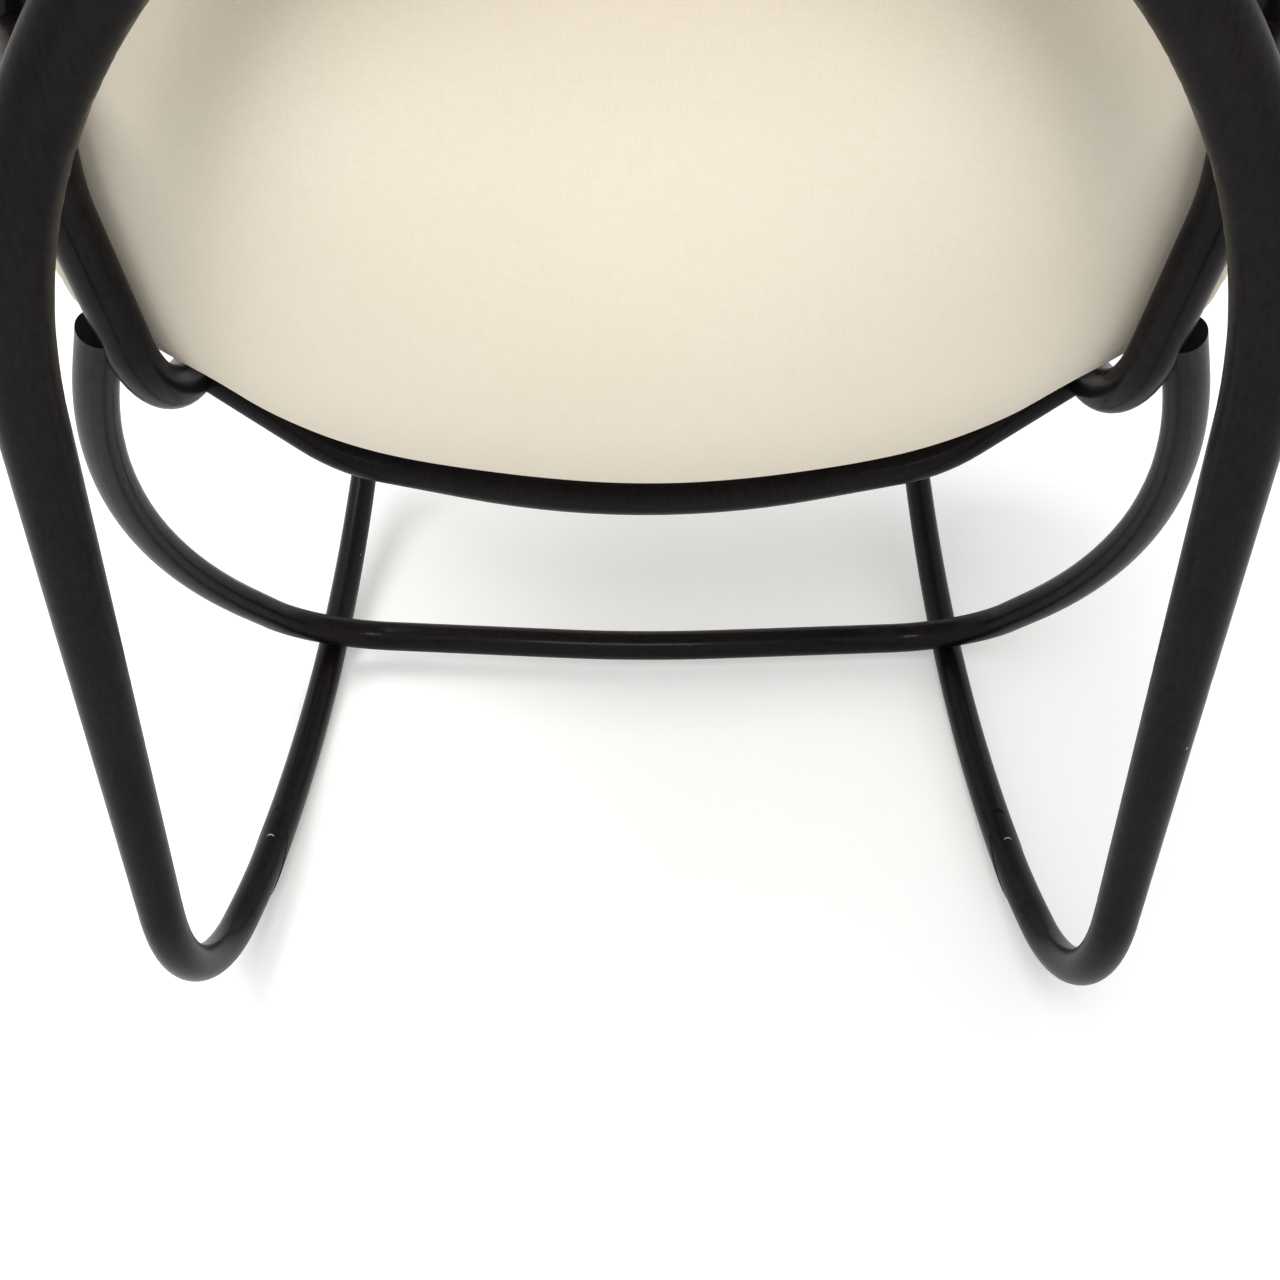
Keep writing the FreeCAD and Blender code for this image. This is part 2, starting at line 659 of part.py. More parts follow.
# Screw from the inner side of the stile into the end of the hoop, under a plug
hoop_run = hoop_wire.Edges[0]
hoop_end = hoop_run.valueAt(hoop_run.FirstParameter)
hoop_end_way = hoop_run.tangentAt(hoop_run.FirstParameter)
hoop_way = unit(hoop_end + hoop_end_way * size("hoop_screw_reach") - hoop_stile)
hoop_screw_seat = hoop_stile - hoop_way * (
    seat_radius - size("screw_head_sink") - size("screw_head_height"))
hoop_screw = headed_pin("hoop_screw", screw_radius, "Sizes.hoop_screw_length",
                        head_radius, "Sizes.screw_head_height")
node("hoop_screws", copies("hoop_screw_set", hoop_screw, both_sides([(hoop_screw_seat, hoop_way)])))
hoop_plug_blank = drill("hoop_plug_blank", head_radius, "Sizes.seat_rod_diameter",
                        hoop_screw_seat - hoop_way * size("screw_head_height"), hoop_way * -1.0)
hoop_plug = add("Part::Common", "hoop_plug")
hoop_plug.Base = seat_rod
hoop_plug.Tool = hoop_plug_blank
node("hoop_plugs", group("hoop_plug_set", [hoop_plug, mirror("hoop_plug_twin", hoop_plug)]))


def hoop_screw_drill(name):
    return drill(name, screw_hole, "Sizes.hoop_screw_length", hoop_screw_seat, hoop_way)


# Dowels that join the rails to the seat rods and the top to the stiles
rear_rail_way = unit(rail_shoulder - rear_rail_end)
front_rail_way = front_rail_wire.Edges[0].tangentAt(front_rail_wire.Edges[0].FirstParameter)
rail_dowel_places = []
for rail_end, rail_way in ((rear_rail_end, rear_rail_way), (front_rail_end, front_rail_way)):
    rail_dowel_places.append((rail_end + rail_way * size("rail_dowel_start"), rail_way))
rail_dowel = plain_pin("rail_dowel", "Sizes.rail_dowel_diameter / 2", "Sizes.rail_dowel_length")
node("rail_dowels", copies("rail_dowel_set", rail_dowel, both_sides(rail_dowel_places)))
rail_dowel_hole = "Sizes.rail_dowel_diameter / 2 + Sizes.hole_clearance"


def rail_dowel_drill(name, place):
    start, direction = place
    return drill(name, rail_dowel_hole, "Sizes.rail_dowel_length", start, direction)


top_dowel_place = (back_joint - stile_direction * (size("top_dowel_length") / 2.0), stile_direction)
top_dowel = plain_pin("top_dowel", "Sizes.top_dowel_diameter / 2", "Sizes.top_dowel_length")
node("top_dowels", copies("top_dowel_set", top_dowel, both_sides([top_dowel_place])))


def top_dowel_drill(name):
    hole = "Sizes.top_dowel_diameter / 2 + Sizes.hole_clearance"
    return drill(name, hole, "Sizes.top_dowel_length", top_dowel_place[0], top_dowel_place[1])


# Side view of the upholstered shell: each station has a point on the rods' centre line, the direction
# towards the sitter, and how far out the rod lies there.
pad_front = leg_joint.y - size("pad_front_overhang")
pad_top = size("back_frame_rise") + size("pad_top_overhang")
rest_gap = seat_radius + size("pad_clearance")


class Station:
    """One cross-section of the pad."""

    def __init__(self, origin, normal, rod_half, half, drop, thickness, from_end, to_bend):
        nose = min(from_end / size("pad_nose_length"), 1.0)
        fullness = math.sqrt(1.0 - (1.0 - nose) ** 2)
        share = size("pad_nose_share")
        self.origin = origin
        self.normal = normal
        self.half = half - size("pad_corner_draw") * (1.0 - fullness)
        self.drop = drop
        self.thickness = thickness * (share + (1.0 - share) * fullness)
        narrowing = size("pad_edge_thickness") - size("pad_waist_edge")
        self.edge = (size("pad_edge_thickness") - narrowing * to_bend) * (share + (1.0 - share) * fullness)
        gap = rest_gap + size("bend_clearance") * to_bend
        bow = 2.0 * (drop + gap) / (rod_half ** 2 + drop ** 2 - gap ** 2)
        self.radius = 1.0 / max(bow, 1.0 / size("pad_flattest_radius"))

    def low(self, x):
        """Height of the underside above the rods' centre line."""
        return self.radius - self.drop - math.sqrt(self.radius ** 2 - x ** 2)

    def at(self, x, height):
        return self.origin + vec(x, 0, 0) + self.normal * height


def between(value, start, end):
    return min(max((value - start) / (end - start), 0.0), 1.0)


def seat_station(depth, from_end):
    share = (depth - leg_joint.y) / (back_corner.y - leg_joint.y)
    rod_half = seat_front_half + (back_corner.x - seat_front_half) * share
    to_waist = between(depth, leg_joint.y, bend_centre.y)
    drop = size("drop_front") + (size("drop_waist") - size("drop_front")) * to_waist
    half = size("pad_seat_half") + (size("pad_waist_half") - size("pad_seat_half")) * to_waist
    to_bend = between(depth, bend_centre.y - 2.0 * size("bend_spacing"), bend_centre.y - size("bend_spacing"))
    return Station(vec(0, depth, seat_height), vec(0, 0, 1), rod_half, half, drop,
                   size("pad_seat_thickness"), from_end, to_bend)


def bend_station(angle):
    origin = bend_centre + vec(0, sin(angle), -cos(angle)) * bend_radius
    share = angle / bend_turn
    thickness = size("pad_seat_thickness") + (size("pad_back_thickness") - size("pad_seat_thickness")) * share
    return Station(origin, vec(0, -sin(angle), cos(angle)), back_corner.x, size("pad_waist_half"),
                   size("drop_waist"), thickness, size("pad_nose_length"), 1.0)


def back_station(rise, from_end):
    origin = vec(0, back_corner.y, back_corner.z) + back_up * rise
    leaning = max(rise - size("stile_bend_rise"), 0.0)
    rod_half = back_corner.x - leaning * tan(size("stile_inward_lean"))
    crown_rise = (crown - back_corner).dot(back_up)
    top_rod_rise = size("back_frame_rise") - 2.0 * seat_radius
    easing = (1.0 - cos(180.0 * between(rise, bend_reach, crown_rise))) / 2.0
    drop = size("drop_waist") + (size("drop_crown") - size("drop_waist")) * easing
    drop -= (size("drop_crown") + rest_gap) * between(rise, crown_rise, top_rod_rise)
    narrowing = between(rise, bend_reach, size("pad_back_half_rise"))
    half = size("pad_waist_half") + (size("pad_back_half") - size("pad_waist_half")) * narrowing
    narrowing = between(rise, size("pad_back_half_rise"), pad_top - size("pad_nose_length"))
    half += (size("pad_upper_half") - size("pad_back_half")) * narrowing
    to_bend = 1.0 - between(rise, bend_reach + size("bend_spacing"), bend_reach + 2.0 * size("bend_spacing"))
    return Station(origin, vec(0, -cos(recline), sin(recline)), rod_half, half, drop,
                   size("pad_back_thickness"), from_end, to_bend)


def pad_stations(inset):
    """Cross-sections from the front edge to the top edge, with both edges drawn in by inset."""
    nose = size("pad_nose_length")
    stations = []
    for share in NOSE_SHARES:
        stations.append(seat_station(pad_front + inset + (nose - inset) * share, nose * share))
    seat_run = bend_centre.y - size("bend_spacing") - pad_front - nose
    for share in SEAT_SHARES:
        stations.append(seat_station(pad_front + nose + seat_run * share, nose))
    stations.append(bend_station(bend_turn / 2.0))
    back_start = bend_reach + size("bend_spacing")
    back_run = pad_top - nose - back_start
    for share in BACK_SHARES:
        stations.append(back_station(back_start + back_run * share, nose))
    for share in reversed(NOSE_SHARES):
        stations.append(back_station(pad_top - inset - (nose - inset) * share, nose * share))
    return stations


def loft(name, wires):
    piece = add("Part::Feature", name)
    piece.Shape = Part.makeLoft(wires, True, False)
    return piece


def arc_halves(start, middle, end):
    arc = Part.Arc(start, middle, end).toShape()
    return arc.split((arc.FirstParameter + arc.LastParameter) / 2.0).Edges


def closed_section(corners, low_middle, high_middle):
    """Underside arc, side, upper arc and side through four corners. The arcs are in halves."""
    low_right, high_right, high_left, low_left = corners
    return Part.Wire(
        arc_halves(low_left, low_middle, low_right)
        + [Part.LineSegment(low_right, high_right).toShape()]
        + arc_halves(high_right, high_middle, high_left)
        + [Part.LineSegment(high_left, low_left).toShape()])


def upper_corner(station, inset):
    """Upper side corner of the cushion, drawn in by inset."""
    edge_height = station.low(station.half) + station.edge - inset
    return station.half - size("pad_side_draw") - inset, edge_height


def foam_loft(name, inset, low_lift):
    """Cushion drawn in by inset, with its underside raised by low_lift."""
    wires = []
    for station in pad_stations(inset):
        half = station.half - inset
        low_edge = station.low(half) + low_lift
        high_half, high_edge = upper_corner(station, inset)
        corners = [station.at(half, low_edge), station.at(high_half, high_edge),
                   station.at(-high_half, high_edge), station.at(-half, low_edge)]
        wires.append(closed_section(corners, station.at(0, low_lift - station.drop),
                                    station.at(0, station.thickness - station.drop - inset)))
    return loft(name, wires)


def skin_wire(station, low_lift, thickness):
    """Section of a skin over the top and the two sides, open below."""
    half = station.half
    low_edge = station.low(half) + low_lift
    high_half, high_edge = upper_corner(station, 0.0)
    inner_half, inner_edge = upper_corner(station, thickness)
    top = station.thickness - station.drop
    outside = [station.at(half, low_edge), station.at(high_half, high_edge), station.at(0, top),
               station.at(-high_half, high_edge), station.at(-half, low_edge)]
    inside = [station.at(thickness - half, low_edge), station.at(-inner_half, inner_edge),
              station.at(0, top - thickness), station.at(inner_half, inner_edge),
              station.at(half - thickness, low_edge)]
    return Part.Wire([
        Part.LineSegment(outside[0], outside[1]).toShape(),
        Part.Arc(outside[1], outside[2], outside[3]).toShape(),
        Part.LineSegment(outside[3], outside[4]).toShape(),
        Part.LineSegment(outside[4], inside[0]).toShape(),
        Part.LineSegment(inside[0], inside[1]).toShape(),
        Part.Arc(inside[1], inside[2], inside[3]).toShape(),
        Part.LineSegment(inside[3], inside[4]).toShape(),
        Part.LineSegment(inside[4], outside[0]).toShape()])


def skin_loft(name, low_lift, thickness):
    return loft(name, [skin_wire(station, low_lift, thickness) for station in pad_stations(0.0)])


def end_panel(name, station, low_lift, outward):
    """Sewn panel that closes one end of the skin."""
    low_edge = station.low(station.half) + low_lift
    high_half, high_edge = upper_corner(station, 0.0)
    corners = [station.at(station.half, low_edge), station.at(high_half, high_edge),
               station.at(-high_half, high_edge), station.at(-station.half, low_edge)]
    outline = closed_section(corners, station.at(0, low_lift - station.drop),
                             station.at(0, station.thickness - station.drop))
    plate = Part.Face(outline).extrude(outward * size("cover_thickness"))
    plate.translate(outward * size("seam_clearance"))
    panel = add("Part::Feature", name)
    panel.Shape = plate
    return panel


def slab_loft(name, inset, low_lift, high_lift):
    """Layer that follows the underside, between two heights above it."""
    wires = []
    for station in pad_stations(inset):
        half = station.half - inset
        low_edge = station.low(half) + low_lift
        high_edge = station.low(half) + high_lift
        corners = [station.at(half, low_edge), station.at(half, high_edge),
                   station.at(-half, high_edge), station.at(-half, low_edge)]
        wires.append(closed_section(corners, station.at(0, low_lift - station.drop),
                                    station.at(0, high_lift - station.drop)))
    return loft(name, wires)


cover = size("cover_thickness")
layer_gap = size("layer_clearance")
shell_bottom = cover + layer_gap
shell_top = shell_bottom + size("shell_thickness")
foam_gap = size("foam_clearance")
skin_low = shell_bottom + layer_gap
skin = skin_loft("skin", skin_low, cover)
front_panel = end_panel("front_panel", pad_stations(0.0)[0], skin_low, vec(0, -1, 0))
top_panel = end_panel("top_panel", pad_stations(0.0)[-1], skin_low, back_up)
foam_blank = foam_loft("foam_blank", cover + foam_gap, shell_top + foam_gap)
rear_cover_blank = slab_loft("rear_cover_blank", 0.0, 0.0, cover)
shell_blank = slab_loft("shell_blank", size("shell_setback"), shell_bottom, shell_top)

# Screws from the rods through the rear cover into tee nuts in the shell
shell_screw_places = []
for setback in (size("front_screw_setback"), size("middle_screw_setback"), size("rear_screw_setback")):
    station = seat_station(leg_joint.y + setback, size("pad_nose_length"))
    rod_point = seat_joint - seat_forward * (setback / -seat_forward.y)
    shell_screw_places.append((rod_point, station))
screw_back = seat_radius - size("screw_head_sink") - size("screw_head_height")
barrel_start = rest_gap + shell_bottom
flange_start = rest_gap + shell_top + size("tee_nut_lift")
shell_screw_length = "%f + Sizes.tee_nut_flange" % (screw_back + flange_start)
tee_barrel_length = "%f" % (flange_start - barrel_start)
shell_screw_starts = []
tee_nut_starts = []
shell_screw_shanks = []
shell_screw_heads = []
tee_barrel_holes = []
tee_flange_pockets = []
tee_flange_recesses = []
for rod_point, station in shell_screw_places:
    way = unit(station.normal * (station.radius - station.drop) - vec(rod_point.x, 0, 0))
    screw_seat = rod_point - way * screw_back
    shell_screw_starts.append((screw_seat, way))
    tee_nut_starts.append((rod_point + way * flange_start, way * -1.0))
    shell_screw_shanks.append(drill("shell_screw_shank", screw_hole, shell_screw_length, screw_seat, way))
    shell_screw_heads.append(drill("shell_screw_head", head_hole, "Sizes.seat_rod_diameter",
                                   screw_seat, way * -1.0))
    tee_barrel_holes.append(drill(
        "tee_barrel_hole", "Sizes.tee_nut_barrel_diameter / 2 + Sizes.hole_clearance",
        "%f" % (2.0 * flange_start), rod_point, way))
    tee_flange_pockets.append(drill(
        "tee_flange_pocket", "Sizes.tee_nut_diameter / 2 + Sizes.layer_clearance",
        "%f + 3 * Sizes.tee_nut_flange" % flange_start, rod_point, way))
    tee_flange_recesses.append(drill(
        "tee_flange_recess", "Sizes.tee_nut_diameter / 2 + Sizes.hole_clearance",
        "4 * Sizes.tee_nut_flange", rod_point + way * (flange_start - size("hole_clearance")), way))
shell_screw = headed_pin("shell_screw", screw_radius, shell_screw_length,
                         head_radius, "Sizes.screw_head_height")
node("shell_screws", copies("shell_screw_set", shell_screw, both_sides(shell_screw_starts)))
tee_solid = headed_pin("tee_solid", "Sizes.tee_nut_barrel_diameter / 2", tee_barrel_length,
                       "Sizes.tee_nut_diameter / 2", "Sizes.tee_nut_flange")
tee_bore = drill("tee_bore", screw_hole, "%s + 2 * Sizes.tee_nut_flange" % tee_barrel_length,
                 vec(0, 0, -2.0 * size("tee_nut_flange")), vec(0, 0, 1))
tee_nut = cut("tee_nut", tee_solid, [tee_bore])
node("shell_tee_nuts", copies("tee_nut_set", tee_nut, both_sides(tee_nut_starts)))


def on_both_sides(tools):
    return tools + [mirror("twin", tool) for tool in tools]


node("rear_cover", cut("rear_cover_skin", rear_cover_blank, on_both_sides(tee_barrel_holes)))
node("front_cover", skin)
node("cover_ends", group("cover_end_set", [front_panel, top_panel]))
node("seat_shell", cut("shell_board", shell_blank, on_both_sides(tee_barrel_holes + tee_flange_recesses)))
foam = cut("foam_pocketed", foam_blank, on_both_sides(tee_flange_pockets))

# The foam is in two pieces that meet in the middle of the bend
split_angle = bend_turn / 2.0
split_normal = vec(0, cos(split_angle), sin(split_angle))
split_reach = size("back_frame_rise") * 2.0


def half_space(name, direction):
    """Block on one side of the plane where the two foams meet."""
    block = add("Part::Box", name)
    for side in ("Length", "Width", "Height"):
        block.setExpression(side, "Sizes.back_frame_rise * 2")
    across = vec(1, 0, 0)
    turn = FreeCAD.Rotation(across, direction.cross(across), direction, "XZY")
    corner = vec(-split_reach / 2.0, -split_reach / 2.0, layer_gap / 2.0)
    block.Placement = FreeCAD.Placement(bend_centre + turn.multVec(corner), turn)
    return block


def common(name, base, tool):
    result = add("Part::Common", name)
    result.Base = base
    result.Tool = tool
    doc.recompute()
    return result


node("seat_foam", common("foam_in_front", foam, half_space("front_space", split_normal * -1.0)))
node("back_foam", common("foam_behind", foam, half_space("rear_space", split_normal)))

# Frame pieces with their cuts and holes
runner_rounded = rounded_end("runner_rounded", runner_rod, leg_top, size("rod_end_round"))
left_runner = cut("left_runner_bored", runner_rounded,
                  [scarf_block("runner_scarf", 1.0), leg_bolt_drill("runner_leg_hole")]
                  + pin_drills("runner_pin_hole") + runner_screw_drills("runner_screw_hole"))
node("left_runner", left_runner)
node("right_runner", mirror("right_runner_bored", left_runner))

insert_hole = drill("insert_hole", "Sizes.insert_diameter / 2 + Sizes.hole_clearance",
                    "%f" % spacer_span, insert_bottom, spacer_way * -1.0)
half_arch = cut("half_arch_bored", half_arch_rod,
                [scarf_block("arch_scarf", -1.0), insert_hole] + pin_drills("arch_pin_hole"))
node("rear_arch", fused("whole_arch", [half_arch, mirror("half_arch_twin", half_arch)]))

back_bolt_hole = drill("back_bolt_hole", bolt_hole, "%f" % spacer_span, back_bolt_seat, spacer_way)
back_bolt_sink = drill("back_bolt_sink", "Sizes.bolt_head_diameter / 2 + Sizes.hole_clearance",
                       "Sizes.seat_rod_diameter", back_bolt_seat, spacer_way * -1.0)
hoop_screw_sink = drill("hoop_screw_sink", head_hole, "Sizes.seat_rod_diameter",
                        hoop_screw_seat, hoop_way * -1.0)
seat_rod_rounded = rounded_end("seat_rod_rounded", seat_rod, seat_front, size("rod_end_round"))
left_seat_rod = cut("left_seat_rod_bored", seat_rod_rounded,
                    [leg_bolt_drill("rod_leg_hole"), back_bolt_hole, back_bolt_sink,
                     hoop_screw_drill("rod_hoop_hole"), hoop_screw_sink, top_dowel_drill("stile_dowel_hole")]
                    + [rail_dowel_drill("rod_rail_hole", place) for place in rail_dowel_places]
                    + shell_screw_shanks + shell_screw_heads)
node("left_seat_rod", left_seat_rod)
node("right_seat_rod", mirror("right_seat_rod_bored", left_seat_rod))

top_hole = top_dowel_drill("top_dowel_hole")
node("top_hoop", cut("top_bored", top_rod, on_both_sides([top_hole])))
for label, rail_rod, place in (("rear_rail", rear_rail_rod, rail_dowel_places[0]),
                               ("front_rail", front_rail_rod, rail_dowel_places[1])):
    rail_hole = rail_dowel_drill(label + "_hole", place)
    node(label, cut(label + "_bored", rail_rod, [cope, cope_twin] + on_both_sides([rail_hole])))
half_hoop = cut("half_hoop_bored", half_hoop_rod,
                [cope, hoop_screw_drill("hoop_end_hole"), runner_screw_drills("hoop_screw_hole")[0]])
node("rear_hoop", fused("whole_hoop", [half_hoop, mirror("half_hoop_twin", half_hoop)]))
doc.recompute()

# Every piece is sound before it is written out
for thing in doc.Objects:
    if "Invalid" in thing.State or "Error" in thing.State:
        raise RuntimeError("%s did not compute" % thing.Name)
os.makedirs("parts", exist_ok=True)
for label, piece in nodes.items():
    if piece.Shape.isNull() or not piece.Shape.isValid():
        raise RuntimeError("%s has no sound shape" % label)
    piece.Shape.exportStep("parts/%s.step" % label)
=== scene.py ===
import json
import math

import bmesh
import bpy
from mathutils import Matrix, Vector
from mathutils.bvhtree import BVHTree


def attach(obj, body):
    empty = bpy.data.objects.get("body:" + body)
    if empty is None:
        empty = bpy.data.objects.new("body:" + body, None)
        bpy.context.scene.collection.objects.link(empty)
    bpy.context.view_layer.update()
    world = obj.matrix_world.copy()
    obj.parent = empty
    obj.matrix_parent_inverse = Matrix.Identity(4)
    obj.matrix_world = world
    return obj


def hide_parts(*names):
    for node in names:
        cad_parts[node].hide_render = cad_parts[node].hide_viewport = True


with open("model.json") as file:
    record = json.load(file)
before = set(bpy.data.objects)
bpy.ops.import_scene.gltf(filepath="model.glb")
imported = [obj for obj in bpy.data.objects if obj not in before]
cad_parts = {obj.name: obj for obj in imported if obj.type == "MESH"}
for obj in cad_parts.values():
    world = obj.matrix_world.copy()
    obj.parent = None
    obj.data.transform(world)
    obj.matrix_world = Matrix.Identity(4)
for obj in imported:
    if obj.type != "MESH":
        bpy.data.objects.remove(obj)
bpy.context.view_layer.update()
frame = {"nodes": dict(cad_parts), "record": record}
nodes = frame["nodes"]

# Rocking lounge chair seen from behind and above. Lengths are in metres, angles in degrees.
# +X is the sitter's left, the sitter faces -Y and +Z is up.

# Camera
CAMERA_PLACE = (0.0, 0.798, 0.788)
CAMERA_PITCH = 40.0
CAMERA_ROLL = 0.25
SENSOR = 36.0
LENS = 36.0

# Rods that the upholstery rests on
SEAT_HEIGHT = 0.407
ROD_RADIUS = 0.0135
PAD_CLEARANCE = 0.0008
REST_GAP = ROD_RADIUS + PAD_CLEARANCE
LEG_JOINT_DEPTH = -0.4001
SEAT_ROD_FRONT_HALF = 0.2584
SEAT_ROD_REAR_HALF = 0.278
BACK_CORNER_DEPTH = 0.1468
BEND_RADIUS = 0.085
RECLINE = 18.0
STILE_BEND_RISE = 0.160
STILE_LEAN = 11.0
BACK_FRAME_RISE = 0.512
CROWN_RISE = 0.3742

# Upholstered pad
PAD_FRONT_OVERHANG = 0.042
PAD_TOP_OVERHANG = 0.040
PAD_SEAT_HALF = 0.328
PAD_WAIST_HALF = 0.320
PAD_BACK_HALF = 0.318
PAD_BACK_HALF_RISE = 0.250
PAD_UPPER_HALF = 0.268
PAD_NOSE = 0.075
PAD_CORNER_DRAW = 0.048
PAD_NOSE_SHARE = 0.55
PAD_SEAT_THICKNESS = 0.066
PAD_BACK_THICKNESS = 0.050
PAD_EDGE = 0.030
PAD_WAIST_EDGE = 0.020
PAD_SIDE_DRAW = 0.004
PAD_CORNER_ROUND = 0.012
PAD_FLATTEST_RADIUS = 1.5
DROP_FRONT = 0.032
DROP_WAIST = 0.0545
DROP_CROWN = 0.0038
BEND_EASING = 0.060
STATION_SPACING = 0.008
NOSE_STEPS = 12
SIDE_STEPS = 4
ROUND_STEPS = 4
TOP_STEPS = 76
LOW_STEPS = 2 * SIDE_STEPS + 2 * ROUND_STEPS + TOP_STEPS
SHIFT_STEPS = 28
SHIFT_EVENING = 3
RIM_SHARE = 0.985
SNAP_REACH = 0.012
PIPING_RADIUS = 0.0026
PIPING_STEPS = 40

# Soft swells of the rear panel: across, rise along the back, half width, half height, how far out
PANEL_SWELLS = (
    (0.150, 0.170, 0.085, 0.150, 0.0035),
    (-0.030, 0.110, 0.110, 0.120, 0.0030),
    (0.060, 0.230, 0.050, 0.100, -0.0030),
    (0.180, 0.005, 0.070, 0.050, 0.0050),
    (-0.180, 0.005, 0.070, 0.050, 0.0050),
)
# The swells fade out between these distances from the centre line of the rods.
SWELL_FADE_START = 0.060
SWELL_FADE_END = 0.018

# Cloth
CLOTH_PRESSURE = 4.0
CLOTH_FRAMES = 20
CLOTH_CAP = 0.022
CLOTH_START = 0.016
SOFT_EDGE = 0.075

# Canvas: a slub is a thick place in a thread, and the wave texture repeats this often at scale 1.
THREAD_PITCH = 0.0009
WAVE_PERIOD = math.pi / 10.0
SLUB_LENGTH = 0.012
SLUB_STRETCH = 14.0
# Painted shade: between these heights the canvas colour is made darker and warmer, standing in for the
# shade near the top of the back.
PAINTED_SHADE_FROM = 0.58
PAINTED_SHADE_TO = 0.73

# Floor: what is seen of it is lifted by these strengths, near the chair and far from it.
FLOOR_HALF = 8.0
FLOOR_LIFT = 0.27
FLOOR_FAR_LIFT = 0.56
FLOOR_NEAR = 1.0
FLOOR_FAR = 3.2

# Light: each lamp's place, the point it is aimed at, its width and its power
WORLD_STRENGTH = 0.58
KEY_LAMP = ((1.1, -0.5, 2.8), (0.0, 0.1, 0.2), 1.5, 40.0)
WINDOW_LAMP = ((0.1, 1.75, 2.45), (0.0, 0.2, 0.4), 1.0, 38.0)

BEND_TURN = 90.0 - RECLINE
BEND_REACH = BEND_RADIUS * math.tan(math.radians(BEND_TURN / 2.0))
BEND_LENGTH = BEND_RADIUS * math.radians(BEND_TURN)
BEND_DEPTH = BACK_CORNER_DEPTH - BEND_REACH
PAD_FRONT = LEG_JOINT_DEPTH - PAD_FRONT_OVERHANG
PAD_TOP = BACK_FRAME_RISE + PAD_TOP_OVERHANG
SEAT_RUN = BEND_DEPTH - PAD_FRONT
BACK_RUN = PAD_TOP - BEND_REACH
PROFILE_LENGTH = SEAT_RUN + BEND_LENGTH + BACK_RUN


def between(value, start, end):
    return min(max((value - start) / (end - start), 0.0), 1.0)


def smooth(value):
    return value * value * (3.0 - 2.0 * value)


def mix(first, second, share):
    return first + (second - first) * share


# Nodes of materials


def material(name):
    made = bpy.data.materials.new(name)
    made.use_nodes = True
    return made, made.node_tree.nodes, made.node_tree.links, made.node_tree.nodes["Principled BSDF"]


def node_of(tree_nodes, kind, **settings):
    made = tree_nodes.new(kind)
    for key, value in settings.items():
        if hasattr(made, key):
            setattr(made, key, value)
        else:
            made.inputs[key.replace("_", " ")].default_value = value
    return made


def colour_ramp(tree_nodes, stops):
    ramp = tree_nodes.new("ShaderNodeValToRGB")
    elements = ramp.color_ramp.elements
    while len(elements) < len(stops):
        elements.new(0.5)
    for element, (place, colour) in zip(elements, stops):
        element.position = place
        element.color = (*colour, 1.0)
    return ramp


def grey(value):
    return (value, value, value)


